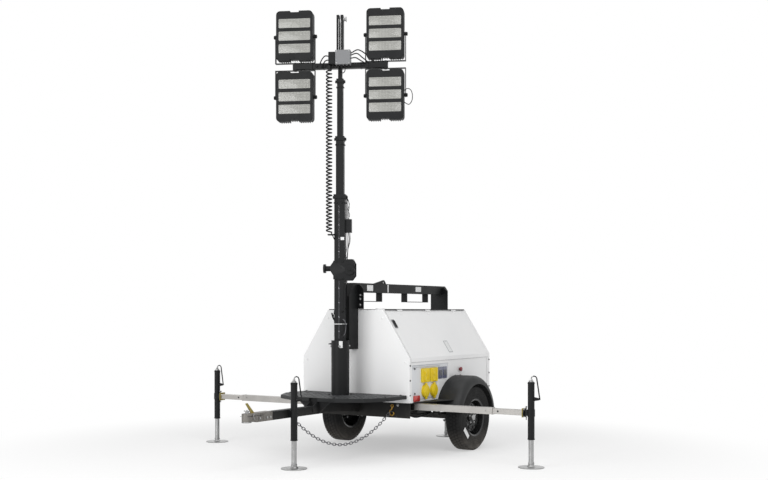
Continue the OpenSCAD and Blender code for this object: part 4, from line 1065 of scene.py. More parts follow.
    def _pressed(self, name: str, shape: bpy.types.Mesh, spots: Sequence[Spot]) -> None:
        """Places louvres with their length kept level and their mouth down."""
        turned = []
        for spot in spots:
            up = Vector(spot.up)
            aim = Vector((0, 0, 1)).rotation_difference(up)
            wanted = Vector((0, 0, 1)).cross(up).normalized()
            local_x = aim @ Vector((1, 0, 0))
            spin = math.atan2(up.dot(local_x.cross(wanted)), local_x.dot(wanted))
            turned.append(Spot(spot.at, spot.up, spin))
        self.shop.placed(name, shape, turned, WHITE_PAINT, "root", "white_steel")

    @staticmethod
    def _louvre(length: float, height: float, depth: float) -> bpy.types.Mesh:
        """Returns one pressed louvre: a half-lens hood, closed at the top and its ends, open below."""
        bm = bmesh.new()
        rows, columns = 4, 8
        grid = []
        for j in range(rows + 1):
            t = j / rows
            line = []
            for i in range(columns + 1):
                u = 2 * i / columns - 1
                rise = depth * math.sin(t * math.pi / 2) * (1 - abs(u) ** 4)
                line.append(bm.verts.new((u * length / 2, height * (0.5 - t), rise)))
            grid.append(line)
        for j in range(rows):
            for i in range(columns):
                bm.faces.new((grid[j][i], grid[j + 1][i], grid[j + 1][i + 1], grid[j][i + 1]))
        back = [bm.verts.new((v.co.x, v.co.y, 0.0003)) for v in grid[-1]]
        for i in range(columns):
            bm.faces.new((grid[-1][i], back[i], back[i + 1], grid[-1][i + 1]))
        return Shape.closed(bm, "louvre", 40)

    def _roof_cap(self) -> None:
        """Ribs the filler cap on the roof."""
        at = Vector((0.2, self.front + 0.12, self.roof_z + 0.012))
        ribs = [Spot((at.x + 0.0445 * math.cos(a), at.y + 0.0445 * math.sin(a), at.z - 0.006),
                     (math.cos(a), math.sin(a), 0)) for a in [2 * math.pi * k / 30 for k in range(30)]]
        rib = Shape.plate("rib", 0.008, 0.003, 0.002, 0.0, 0.0005)
        self.shop.placed("roof_cap_ribs", rib, ribs, WHITE_PAINT, "root", "white_steel")

    def _stop_button(self) -> None:
        """Fits the dark red stop button and its bare round plate to the right side panel."""
        at = Vector((self.side, self.front + 0.937, 0.759))
        turn = Matrix.Translation(at) @ Matrix.Rotation(math.radians(90), 4, "Y")
        ring = Shape.turned("ring", [(0.03, 0.0), (0.03, 0.002), (0.028, 0.0026), (0.02, 0.003)], 40)
        self.shop.piece("stop_button_ring", ring, WHITE_VINYL, "root", "", turn)
        knob = Shape.turned("knob", [(0.013, 0.0), (0.013, 0.012), (0.02, 0.014), (0.0215, 0.019), (0.02, 0.025),
                                     (0.014, 0.029), (0.006, 0.0305), (0.001, 0.031)], 32)
        self.shop.piece("stop_button", knob, STOP_RED, "root", "", turn)

    def _sockets(self) -> None:
        """Details the four yellow sockets and the breaker windows of the outlet panel."""
        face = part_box("outlet_panel")[1].x
        lids = [(self.front + 0.29 + 0.152 * k, 0.588) for k in (0, 1)]
        flaps = [(self.front + 0.29 + 0.152 * k, 0.732) for k in (0, 1)]
        turn = Matrix.Rotation(math.radians(90), 4, "Y")
        for number, (y, z) in enumerate(lids):
            lid = Shape.turned("lid", [(0.054, 0.0), (0.054, 0.003), (0.051, 0.0055), (0.03, 0.007), (0.028, 0.0095),
                                       (0.001, 0.0105)], 40)
            self.shop.piece(f"socket_lid_{number + 1}", lid, YELLOW_PLASTIC, "root", "",
                            Matrix.Translation((face + 0.0005, y, z)) @ turn)
            lug = Shape.slab("lug", rounded(0.028, 0.03, 0.005), 0.0, 0.012, 0.0015)
            for name, dz in (("hinge", 0.06), ("catch", -0.058)):
                self.shop.piece(f"socket_{name}_{number + 1}", lug.copy(), YELLOW_PLASTIC, "root", "",
                                Matrix.Translation((face - 0.008, y, z + dz)) @ turn)
        rib = Shape.slab("rib", rounded(0.1, 0.006, 0.0029), 0.0, 0.003, 0.0007)
        ribs = [Spot((face - 0.0042, y + dy, z), (1, 0, 0)) for y, z in flaps for dy in (-0.045, -0.03, 0.03, 0.045)]
        self.shop.placed("socket_flap_ribs", rib, ribs, YELLOW_PLASTIC, "root")
        for number, (y, z) in enumerate(flaps):
            grip = Shape.slab("grip", rounded(0.016, 0.05, 0.004), 0.0, 0.007, 0.0015)
            self.shop.piece(f"socket_flap_grip_{number + 1}", grip, YELLOW_PLASTIC, "root", "",
                            Matrix.Translation((face - 0.0042, y, z - 0.05)) @ turn)
            boss = Shape.turned("boss", [(0.021, 0.0), (0.021, 0.003), (0.018, 0.0045), (0.001, 0.005)], 28)
            self.shop.piece(f"socket_flap_boss_{number + 1}", boss, YELLOW_PLASTIC, "root", "",
                            Matrix.Translation((face - 0.0042, y, z + 0.012)) @ turn)
        toggles = [Spot((0.579, self.front + 0.573 + 0.084 * k + dy, 0.742), (1, 0, 0)) for k in (0, 1)
                   for dy in (-0.018, 0.0, 0.018)]
        toggle = Shape.slab("toggle", rounded(0.05, 0.009, 0.002), 0.0, 0.005, 0.001)
        self.shop.placed("breaker_toggles", toggle, toggles, GREY_ABS, "root")

    def _reflectors(self) -> None:
        """Fits a red reflector low on the front corner of each side."""
        turn = Matrix.Rotation(math.radians(90), 4, "Y")
        for side, name in ((1, "right"), (-1, "left")):
            lens = Shape.slab("lens", rounded(0.052, 0.108, 0.004), 0.0, 0.008, 0.0015)
            at = Matrix.Translation((side * self.side, self.front + 0.134, 0.5295)) @ (
                turn if side > 0 else Matrix.Rotation(math.radians(-90), 4, "Y"))
            # The red lens finish gives the reflector a faint painted glow
            self.shop.piece(f"side_reflector_{name}", lens, RED_LENS, "root", "red_lens", at)
            bars = [Spot((side * (self.side + 0.008), self.front + 0.134 + dy, 0.5295), (side, 0, 0))
                    for dy in (-0.036, 0.0, 0.036)]
            bar = Shape.slab("bar", rounded(0.046, 0.004, 0.001), -0.001, 0.0008, 0.0002)
            self.shop.placed(f"reflector_bars_{name}", bar, bars, STOP_RED, "root", "red_lens")

    def _rear_plate(self) -> None:
        """Hangs a bare number plate low on the rear wall."""
        turn = Matrix.Translation((0, self.rear + 0.002, 0.548)) @ Matrix.Rotation(math.radians(-90), 4, "X")
        holder = Shape.slab("holder", rounded(0.34, 0.088, 0.008), 0.0, 0.006, 0.001)
        self.shop.piece("plate_holder", holder, BLACK_RUBBER_AND_SHADE, "root", "", turn)
        plate = Shape.plate("plate", 0.325, 0.072, 0.0012, 0.006)
        self.shop.piece("bare_number_plate", plate, WHITE_VINYL, "root", "",
                        Matrix.Translation((0, 0.006, 0)) @ turn)


@dataclass
class Chassis:
    """What is welded, bolted or hung on the frame, the deck and the drawbar.

    Attributes:
        shop: The workshop.
        tread_pitch: Distance between the raised bars of the deck's tread.
        links: Links of the safety chain.
    """

    shop: Workshop
    tread_pitch: float = 0.0335
    links: int = 41

    def build(self) -> None:
        """Builds every fitting."""
        self._tread()
        self._deck_bolts()
        self._chain()
        self._hook()
        self._frame_bolts()
        self._springs()
        self._hoses()
        self._coupler()
        self._road_lamps()

    def _tread(self) -> None:
        """Raises the deck's diamond tread: short bars that lean left and right by turns."""
        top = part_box("platform")[1].z
        front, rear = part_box("platform")[0].y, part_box("platform")[1].y
        corners = [(-0.56, rear), (-0.56, -0.44), (-0.45, -0.65), (-0.23, front), (0.23, front), (0.45, -0.65),
                   (0.56, -0.44), (0.56, rear)]
        bar = Shape.slab("bar", [(-0.015, 0.0), (-0.008, -0.0033), (0.008, -0.0033), (0.015, 0.0), (0.008, 0.0033),
                                 (-0.008, 0.0033)], -0.0006, 0.0016, 0.0006)
        spots = []
        rows = int((rear - front) / self.tread_pitch) + 1
        columns = int(1.12 / self.tread_pitch) + 1
        for i in range(columns):
            for j in range(rows):
                x = -0.56 + self.tread_pitch * (i + 0.5)
                y = front + self.tread_pitch * (j + 0.5)
                if self._inside(x, y, corners, 0.018) and math.hypot(x, y - POST_Y) > 0.112:
                    spots.append(Spot((x, y, top), (0, 0, 1), math.radians(45 if (i + j) % 2 else -45)))
        # The bars' lighter grey is a painted highlight on their tops
        self.shop.placed("deck_tread", bar, spots, TREAD_BAR_HIGHLIGHT, "root", "black_steel")

    @staticmethod
    def _inside(x: float, y: float, corners: Sequence[tuple[float, float]], margin: float) -> bool:
        """Tells whether a point lies inside a convex outline that runs anticlockwise, by a margin."""
        ring = list(corners)
        area = sum(a[0] * b[1] - b[0] * a[1] for a, b in zip(ring, ring[1:] + ring[:1]))
        if area < 0:
            ring.reverse()
        for (ax, ay), (bx, by) in zip(ring, ring[1:] + ring[:1]):
            length = math.hypot(bx - ax, by - ay)
            if ((bx - ax) * (y - ay) - (by - ay) * (x - ax)) / length < margin:
                return False
        return True

    def _deck_bolts(self) -> None:
        """Sets the bolts of the deck and of the mast post's foot."""
        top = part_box("platform")[1].z
        bolt = Shape.head("deck_bolt")
        spots = [Spot((x, y, top), (0, 0, 1)) for x, y in
                 ((-0.52, -0.17), (0.52, -0.17), (-0.52, -0.42), (0.52, -0.42), (-0.2, -0.735), (0.2, -0.735))]
        spots += [Spot((0.1 * math.cos(a), POST_Y + 0.1 * math.sin(a), top), (0, 0, 1))
                  for a in [math.pi / 4 + math.pi / 2 * k for k in range(4)]]
        self.shop.placed("deck_bolts", bolt, spots, DECK_PAINT, "root", "black_steel")

    def _chain(self) -> None:
        """Hangs the safety chain as real links from the drawbar to the frame's corner."""
        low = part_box("safety_chain")[0]
        start, end = Vector((0.0, -1.06, 0.4166)), Vector((0.385, -0.1344, 0.410))
        sag = min(start.z, end.z) - low.z - 0.012
        path = []
        for k in range(49):
            t = k / 48
            at = start.lerp(end, t)
            at.z -= 4 * sag * t * (1 - t)
            path.append(at)
        inner = length_of(path) / (self.links - 1)
        wire = 0.0034
        host = self.shop.host(path, [(i, i + 1) for i in range(len(path) - 1)], Trees.chain(), {
            "Links": self.links, "Length": inner + wire * 1.9, "Width": 0.0205, "Wire": wire,
            "Finish": WEATHERED_ZINC_AND_HIGHLIGHT.material()})
        chain = self.shop.realised(host, "chain_links")
        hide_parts("safety_chain")
        self.shop.fasten(chain, "root", "zinc_steel")

    def _hook(self) -> None:
        """Hangs the safety hook and its ring on the frame's corner."""
        eye = Vector((0.405, -0.1275, 0.452))
        hook = [eye + Vector(p) for p in ((0.0, 0, 0.008), (-0.004, 0, -0.012), (-0.022, 0, -0.030),
                                          (-0.024, 0, -0.055), (-0.004, 0, -0.072), (0.016, 0, -0.058),
                                          (0.014, 0, -0.042))]
        self.shop.rod("safety_hook", hook, 0.0062, BRASS_HOOK, "root", "", 8, 12)
        ring = [eye + Vector((0.012 * math.cos(a), 0, 0.014 + 0.012 * math.sin(a)))
                for a in [2 * math.pi * k / 12 for k in range(13)]]
        self.shop.rod("safety_hook_ring", ring, 0.0045, BRASS_HOOK, "root", "", 4, 10)
        latch = [eye + Vector(p) for p in ((-0.018, 0, -0.028), (-0.002, 0, -0.034), (0.013, 0, -0.041))]
        self.shop.rod("safety_hook_latch", latch, 0.0028, ZINC_ROUND, "root", "zinc_steel", 4, 8)

    def _frame_bolts(self) -> None:
        """Sets the bright bolts of the frame's front and sides, and those on top of the fenders."""
        bolt = Shape.head("frame_bolt")
        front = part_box("frame")[0].y
        spots = [Spot((s * 0.462, front, 0.474), (0, -1, 0), 0.0, 0.8) for s in (-1, 1)]
        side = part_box("frame")[1].x
        spots += [Spot((s * side, y, ARM_Z), (s, 0, 0)) for s in (-1, 1) for y in (0.19, 1.22, 1.39)]
        self.shop.placed("frame_bolts", bolt, spots, ZINC_ROUND, "root", "zinc_steel")
        small = Shape.head("fender_bolt")
        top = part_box("fender_right")[1].z
        tops = [Spot((s * 0.60, 0.74 + dy, top), (0, 0, 1)) for s in (-1, 1) for dy in (-0.05, 0.05)]
        self.shop.placed("fender_bolts", small, tops, ZINC_ROUND, "root", "zinc_steel")

    def _springs(self) -> None:
        """Clamps the leaf springs to the axle with plates and nuts."""
        axle_low, axle_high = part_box("axle")
        middle = (axle_low.y + axle_high.y) / 2
        plate = Shape.slab("plate", rounded(0.075, 0.11, 0.006), 0.0, 0.007, 0.001)
        nut = Shape.head("spring_nut")
        nuts = []
        for s in (-1, 1):
            x = s * 0.5
            self.shop.piece(f"spring_plate_{'right' if s > 0 else 'left'}", plate.copy(), CHASSIS_PAINT, "root",
                            "black_steel", Matrix.Translation((x, middle, axle_low.z - 0.007)))
            nuts += [Spot((x + dx, middle + dy, axle_low.z - 0.007), (0, 0, -1)) for dx in (-0.026, 0.026)
                     for dy in (-0.042, 0.042)]
        self.shop.placed("spring_nuts", nut, nuts, ZINC_ROUND, "root", "zinc_steel")

    def _hoses(self) -> None:
        """Hangs the drain and fuel hoses under the frame between the front cross member and the spring."""
        runs = (((0.50, -0.10, 0.40), (0.515, 0.0, 0.372), (0.52, 0.10, 0.352), (0.515, 0.24, 0.356),
                 (0.505, 0.395, 0.372)),
                ((0.48, -0.10, 0.42), (0.50, 0.02, 0.39), (0.505, 0.16, 0.372), (0.50, 0.29, 0.372),
                 (0.495, 0.405, 0.380)))
        for number, points in enumerate(runs):
            self.shop.lead(f"frame_hose_{number + 1}", points, 0.014, ("root",))

    def _coupler(self) -> None:
        """Sets the coupler's ribs, its black side strips of painted shade in the gap lines, nut and wing, lever pin and
        clip, socket rim and bolts.
        """
        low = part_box("coupler")[0]
        rib = Shape.slab("rib", rounded(0.006, 0.058, 0.0015), 0.0, 0.0035, 0.0012)
        turned = Matrix.Rotation(math.radians(90), 4, "Y")
        ribs = [Spot((s * 0.0372, y, 0.46), (s, 0, 0), math.radians(90)) for s in (-1, 1)
                for y in (low.y + 0.115, low.y + 0.145, low.y + 0.175, low.y + 0.205)]
        self.shop.placed("coupler_ribs", rib, ribs, CAST_ZINC, "root", "zinc_steel")
        # Black strips along the sides: painted shade in the coupler's gap lines
        gap_shade_strip = Shape.slab("gap_shade_strip", rounded(0.0035, 0.20, 0.001), 0.0, 0.0012, 0.0003)
        for s, name in ((1, "right"), (-1, "left")):
            self.shop.piece(f"coupler_seam_{name}", gap_shade_strip.copy(), BLACK_RUBBER_AND_SHADE, "root", "",
                            Matrix.Translation((s * 0.0376, low.y + 0.11, 0.478))
                            @ (turned if s > 0 else Matrix.Rotation(math.radians(-90), 4, "Y")))
        nut = Shape.head("coupler_nut")
        self.shop.placed("coupler_nut", nut, [Spot((0.0, low.y + 0.045, 0.497), (0, 0, 1))], ZINC_ROUND, "root",
                         "zinc_steel")
        wing = [(-0.03, low.y + 0.045, 0.520), (0.0, low.y + 0.045, 0.514), (0.03, low.y + 0.045, 0.520)]
        self.shop.rod("coupler_wing", wing, 0.005, ZINC_ROUND, "root", "zinc_steel", 4, 10)
        pin = [(-0.045, low.y + 0.078, 0.492), (0.0, low.y + 0.078, 0.492), (0.045, low.y + 0.078, 0.492)]
        self.shop.rod("coupler_pin", pin, 0.0055, ZINC_ROUND, "root", "zinc_steel", 1, 12)
        clip = [(0.043, low.y + 0.078, 0.492), (0.046, low.y + 0.075, 0.470), (0.043, low.y + 0.083, 0.450),
                (0.0405, low.y + 0.094, 0.462)]
        self.shop.rod("coupler_clip", clip, 0.0018, ZINC_ROUND, "root", "zinc_steel", 5, 8)
        rim = [(0.0375 * math.cos(a), low.y + 0.0405 + 0.0375 * math.sin(a), 0.4285)
               for a in [2 * math.pi * k / 16 for k in range(17)]]
        self.shop.rod("coupler_rim", rim, 0.0035, ZINC_ROUND, "root", "zinc_steel", 2, 8)
        bolt = Shape.head("coupler_bolt")
        spots = [Spot((s * 0.0362, y, 0.455), (s, 0, 0)) for s in (-1, 1) for y in (-1.405, -1.45, -1.54)]
        self.shop.placed("coupler_bolts", bolt, spots, ZINC_ROUND, "root", "zinc_steel")

    def _road_lamps(self) -> None:
        """Screws the lenses of the rear lamps on."""
        screw = Shape.head("road_lamp_screw")
        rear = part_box("road_lamps")[1].y
        spots = [Spot((s * x, rear - 0.0005, 0.47 + dz), (0, 1, 0)) for s in (-1, 1) for x in (0.42, 0.54)
                 for dz in (-0.03, 0.03)]
        self.shop.placed("road_lamp_screws", screw, spots, ZINC_ROUND, "root", "zinc_steel")


@dataclass
class Outriggers:
    """Fittings of the two telescoping outriggers and the four screw jacks.

    Attributes:
        shop: The workshop.
    """

    shop: Workshop

    def build(self) -> None:
        """Builds every fitting."""
        for side in SIDES:
            self._arm(side)
        for place in ("left", "right", "tongue", "rear"):
            self._jack(place)

    def _arm(self, side: str) -> None:
        """Puts a black disc in the adjusting hole of an inner arm as painted shade inside the hole, and rolls the bead
        of the outer arm's end.
        """
        out = SIDES[side]
        mesh = self.shop.frame["nodes"][f"arm_inner_{side}"].data
        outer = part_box(f"arm_outer_{side}")
        y = (outer[0].y + outer[1].y) / 2
        half = max(abs(v.co.y - y) for v in mesh.vertices if abs(v.co.x) < 1.2)
        end = outer[1].x if side == "right" else outer[0].x
        hole = Shape.turned("hole", [(0.0085, -0.0004), (0.0085, 0.0001), (0.0075, 0.0002)], 20)
        spots = [Spot((end + out * 0.05, y + d * half, ARM_Z), (0, d, 0)) for d in (-1, 1)]
        self.shop.placed(f"arm_hole_{side}", hole, spots, BLACK_RUBBER_AND_SHADE, f"extension_{side}")
        bead = self._frame(outer[1].y - outer[0].y)
        self.shop.piece(f"arm_end_bead_{side}", bead, ZINC_TUBE, f"outrigger_{side}", "zinc_steel",
                        Matrix.Translation((end - out * 0.006, y, ARM_Z)) @ Matrix.Rotation(math.radians(90), 4, "Y"))

    @staticmethod
    def _frame(side: float) -> bpy.types.Mesh:
        """Returns the square bead round a tube's end, centred on its axis."""
        outer, inner, low, high = side / 2 + 0.0016, side / 2 - 0.001, -0.006, 0.006
        return Shape.skin("bead", [[(s * x, t * x, z) for s, t in ((-1, -1), (1, -1), (1, 1), (-1, 1))] for x, z in
                                   ((inner, low), (outer, low + 0.0015), (outer, high - 0.0015), (inner, high))],
                          angle=30)

    def _jack(self, place: str) -> None:
        """Fits the foot's collar and swivel pin and the tube's two rings to one jack."""
        low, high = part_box(f"jack_leg_{place}")
        x, y = (low.x + high.x) / 2, (low.y + high.y) / 2
        body = f"leg_{place}"
        collar = Shape.turned("collar", [(0.0225, 0.0), (0.0265, 0.002), (0.0275, 0.006), (0.0265, 0.010),
                                         (0.0225, 0.012)], 28)
        self.shop.piece(f"jack_foot_collar_{place}", collar, ZINC_ROUND, body, "zinc_steel",
                        Matrix.Translation((x, y, 0.0265)))
        pin = Shape.turned("pin", [(0.0045, -0.0265), (0.0045, 0.0265)], 12)
        self.shop.piece(f"jack_foot_pin_{place}", pin, ZINC_ROUND, body, "zinc_steel",
                        Matrix.Translation((x, y, 0.044)) @ Matrix.Rotation(math.radians(90), 4, "Y"))
        holder = "root" if place in ("tongue", "rear") else f"jack_{place}"
        ring = Shape.turned("ring", [(0.0283, 0.0), (0.0312, 0.001), (0.0318, 0.004), (0.0312, 0.007),
                                     (0.0283, 0.008)], 32)
        self.shop.piece(f"jack_tube_ring_{place}", ring.copy(), BLACK_PAINT, holder, "black_steel",
                        Matrix.Translation((x, y, 0.2365)))
        self.shop.piece(f"jack_cap_ring_{place}", ring, BLACK_PAINT, holder, "black_steel",
                        Matrix.Translation((x, y, 0.705)))


@dataclass
class Mast:
    """Telescoping mast: coiled cable, conduit, wires, strap, marks and bolts.

    Attributes:
        shop: The workshop.
        turn: Angle of the mast about its post in the frame's rest pose, in degrees.
        coil_turns: Turns of the coiled cable.
        coil_radius: Radius of the coil's centreline.
        coil_wire: Thickness of the coiled cable.
    """

    shop: Workshop
    turn: float = MAST_TURN
    coil_turns: int = 44
    coil_radius: float = 0.0235
    coil_wire: float = 0.013

    def __post_init__(self) -> None:
        """Reads the post's middle and the tops of the stages that have a collar."""
        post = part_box("mast_post")
        self.middle = Vector((0, (post[0].y + post[1].y) / 2, 0))
        self.tops = [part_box(f"mast_stage_{k}")[1].z for k in (1, 2, 3)]

    def at(self, x: float, y: float, z: float) -> Vector:
        """Returns a point given in the mast's own turned axes."""
        a = math.radians(self.turn)
        return self.middle + Vector((x * math.cos(a) - y * math.sin(a), x * math.sin(a) + y * math.cos(a), z))

    def aim(self, x: float, y: float, z: float) -> Vector:
        """Returns a direction given in the mast's own turned axes."""
        return self.at(x, y, z) - self.middle

    def build(self) -> None:
        """Builds every fitting."""
        self._coil()
        self._conduit()
        self._collars()
        self._marks()
        self._winch()
        self._switch_box()
        self._highlight_line()
        self._post()

    def _coil(self) -> None:
        """Winds the coiled cable in three lengths, each between two stages."""
        low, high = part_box("coiled_cable")
        centre = Vector(((low.x + high.x) / 2, (low.y + high.y) / 2, 0))
        start, end = low.z + 0.012, high.z - 0.006
        stops = [start, start + (end - start) * 0.39, start + (end - start) * 0.78, end]
        per_metre = self.coil_turns / (end - start)
        for k, (a, b) in enumerate(zip(stops, stops[1:])):
            turns = per_metre * (b - a)
            steps = int(turns * 16)
            first = per_metre * (a - start)
            path = []
            for i in range(steps + 1):
                t = i / steps
                angle = 2 * math.pi * (first + turns * t)
                path.append(centre + Vector((self.coil_radius * math.cos(angle), self.coil_radius * math.sin(angle),
                                             a + (b - a) * t)))
            name = f"coiled_cable_{k + 1}"
            obj = self.shop.pipe(name, path, self.coil_wire / 2, BLACK_RUBBER_AND_SHADE, 8)
            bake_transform(obj)
            if k == 0:
                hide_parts("coiled_cable")
            self.shop.made.append(name)
        tail = [centre + Vector((self.coil_radius, 0, high.z - 0.006)), centre + Vector((0.03, 0.012, high.z + 0.03)),
                self.at(-0.04, -0.06, high.z + 0.066)]
        self.shop.lead("coil_tail", tail, 0.009, ("mast_4",))

    def _conduit(self) -> None:
        """Lays the conduit, the coil's supply and the ring of spare cable on the first stage."""
        points = [self.at(0.020, -0.0555, 1.310), self.at(0.044, -0.0555, 1.330), self.at(0.048, -0.0555, 1.39),
                  self.at(0.048, -0.0555, 1.50), self.at(0.049, -0.0555, 1.565)]
        self.shop.lead("mast_conduit", points, 0.016, ("mast_1",))
        up = [self.at(-0.044, -0.0495, 1.955), self.at(-0.050, -0.066, 1.972),
              Vector((-0.0423 + self.coil_radius, -0.4741, 2.016))]
        self.shop.lead("coil_supply", up, 0.009, ("mast_1",))
        loop = [self.at(-0.050, -0.018, 1.33)]
        for k in range(37):
            a = 2 * math.pi * k / 12
            away = 0.064 - 0.009 * math.sin(a) + 0.0012 * (k / 12)
            loop.append(self.at(-away, -0.008 + 0.024 * math.cos(a) - 0.002 * (k / 12), 1.268 - 0.031 * math.sin(a)))
        loop.append(self.at(-0.050, -0.012, 1.215))
        self.shop.lead("spare_cable_ring", loop, 0.006, ("mast_1",))

    def _collars(self) -> None:
        """Screws the guide pads of every collar, ties the strap round the first stage and lays its wires."""
        half = (0.0475, 0.035, 0.026)
        screw = Shape.head("guide_screw")
        for k, side in enumerate(half):
            spots = []
            top = self.tops[k]
            for dx, dy in ((1, 0), (-1, 0), (0, 1), (0, -1)):
                out = self.aim(dx, dy, 0)
                along = self.aim(-dy, dx, 0)
                reach = side + 0.0035
                for s in (-0.5, 0.5):
                    for drop in (0.03, 0.075):
                        at = self.middle + out * reach + along * (s * side) + Vector((0, 0, top - drop))
                        spots.append(Spot(at, out))
            self.shop.placed(f"guide_screws_{k + 1}", screw, spots, BLACK_PAINT, f"mast_{k + 1}", "black_steel")
        strap = []
        r = 0.0505
        for dx, dy in ((1, 1), (-1, 1), (-1, -1), (1, -1), (1, 1)):
            strap.append(self.at(dx * r, dy * r, 1.2))
        self.shop.rod("cable_strap", strap, 0.0038, WHITE_VINYL, "mast_1", "", 1, 8)
        wires = (((0.020, -0.0495, 1.235), (0.044, -0.056, 1.215), (0.052, -0.050, 1.165), (0.040, -0.054, 1.11),
                  (0.030, -0.0495, 1.075)),
                 ((0.030, -0.0495, 1.245), (0.050, -0.056, 1.225), (0.058, -0.046, 1.18), (0.054, -0.050, 1.13),
                  (0.036, -0.0495, 1.09)),
                 ((0.010, -0.0495, 1.225), (0.030, -0.054, 1.205), (0.038, -0.052, 1.16), (0.022, -0.052, 1.12),
                  (0.016, -0.0495, 1.10)))
        for number, points in enumerate(wires):
            self.shop.lead(f"mast_wire_{number + 1}", [self.at(*p) for p in points], 0.0045, ("mast_1",),
                           WEATHERED_ZINC_AND_HIGHLIGHT if number == 1 else BLACK_RUBBER_AND_SHADE)

    def _marks(self) -> None:
        """Sticks the small bare marks on the first stage and the bare plate on the post."""
        a = math.radians(self.turn)
        front = Matrix.Rotation(a, 4, "Z") @ Matrix.Rotation(math.radians(90), 4, "X")
        mark = Shape.plate("mark", 0.032, 0.026, 0.0006, 0.002)
        self.shop.piece("bare_mark_stage_1", mark, WHITE_VINYL, "mast_1", "",
                        Matrix.Translation(self.at(0.026, -0.0475, 1.965)) @ front)
        label = Shape.plate("label", 0.032, 0.06, 0.0008, 0.003)
        aim = math.radians(38)
        place = (Matrix.Translation(self.middle + Vector((0.0812 * math.sin(aim), -0.0812 * math.cos(aim), 1.018)))
                 @ Matrix.Rotation(aim, 4, "Z") @ Matrix.Rotation(math.radians(90), 4, "X"))
        curved = self._wrapped(label, 0.0812)
        self.shop.piece("bare_plate_post", curved, WHITE_VINYL, "root", "", place)

    @staticmethod
    def _wrapped(mesh: bpy.types.Mesh, radius: float) -> bpy.types.Mesh:
        """Bends a flat plate round an upright post of the given radius."""
        bm = bmesh.new()
        bm.from_mesh(mesh)
        bmesh.ops.triangulate(bm, faces=bm.faces)
        for k in range(-4, 5):
            bmesh.ops.bisect_plane(bm, geom=[*bm.verts, *bm.edges, *bm.faces], plane_co=(k * 0.0055, 0, 0),
                                   plane_no=(1, 0, 0))
        for v in bm.verts:
            a = v.co.x / radius
            depth = radius + v.co.z
            v.co = Vector((depth * math.sin(a), v.co.y, depth * math.cos(a) - radius))
        return Shape.closed(bm, "wrapped", 30)

    def _winch(self) -> None:
        """Sets the bolts of the winch's cheek plates."""
        bolt = Shape.head("winch_bolt")
        spots = []
        for z in (1.61, 1.76):
            spots.append(Spot(self.at(0.03, -0.0555, z), self.aim(0, -1, 0)))
            spots.append(Spot(self.at(-0.03, -0.0555, z), self.aim(0, -1, 0)))
        self.shop.placed("winch_bolts", bolt, spots, BLACK_PAINT, "mast_1", "black_steel")

    def _switch_box(self) -> None:
        """Leads the switch box's wires up and down the mast."""
        runs = (((0.070, 0.030, 2.024), (0.075, 0.032, 1.96), (0.062, 0.04, 1.86), (0.054, 0.04, 1.70),
                 (0.054, 0.04, 1.45)),
                ((0.085, 0.010, 2.024), (0.088, 0.006, 1.95), (0.070, 0.000, 1.87), (0.060, -0.004, 1.80),
                 (0.050, -0.004, 1.785)),
                ((0.062, -0.010, 2.024), (0.066, -0.016, 1.97), (0.064, -0.014, 1.90), (0.056, -0.020, 1.84),
                 (0.049, -0.020, 1.79)),
                ((0.066, 0.012, 2.325), (0.074, 0.016, 2.30), (0.080, 0.004, 2.25), (0.072, 0.010, 2.19),
                 (0.078, 0.006, 2.142)),
                ((0.060, 0.020, 2.325), (0.080, 0.010, 2.28), (0.070, 0.006, 2.23), (0.082, 0.014, 2.18),
                 (0.070, 0.010, 2.142)))
        for number, points in enumerate(runs):
            self.shop.lead(f"switch_wire_{number + 1}", [self.at(*p) for p in points],
                           0.008 if number < 1 else 0.0055, ("mast_1",))

    def _highlight_line(self) -> None:
        """Clips a thin bright line up the front of the first stage, a painted highlight along the stage's front."""
        spans = ((1.07, 1.585), (1.79, self.tops[0] - 0.1))
        clip = Shape.slab("clip", rounded(0.014, 0.008, 0.002), 0.0, 0.0035, 0.001)
        for number, (low, high) in enumerate(spans):
            self.shop.rod(f"earth_line_{number + 1}", [self.at(-0.004, -0.0492, low),
                                                       self.at(-0.004, -0.0492, high)],
                          0.0017, WEATHERED_ZINC_AND_HIGHLIGHT, "mast_1", "zinc_steel", 1, 8)
        count = 4
        spots = [Spot(self.at(-0.004, -0.0475, low + (high - low) * (k + 0.5) / count),
                      self.aim(0, -1, 0)) for low, high in spans for k in range(count)]
        self.shop.placed("earth_line_clips", clip, spots, WEATHERED_ZINC_AND_HIGHLIGHT, "mast_1", "zinc_steel")

    def _post(self) -> None:
        """Rings the post with its collar bolts."""
        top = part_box("mast_post")[1].z
        bolt = Shape.head("post_bolt")
        spots = []
        for a in (math.radians(-60), math.radians(-150), math.radians(30), math.radians(120)):
            out = Vector((math.cos(a), math.sin(a), 0))
            spots.append(Spot(self.middle + out * 0.0805 + Vector((0, 0, top - 0.05)), out))
        self.shop.placed("post_bolts", bolt, spots, ZINC_ROUND, "root", "zinc_steel")


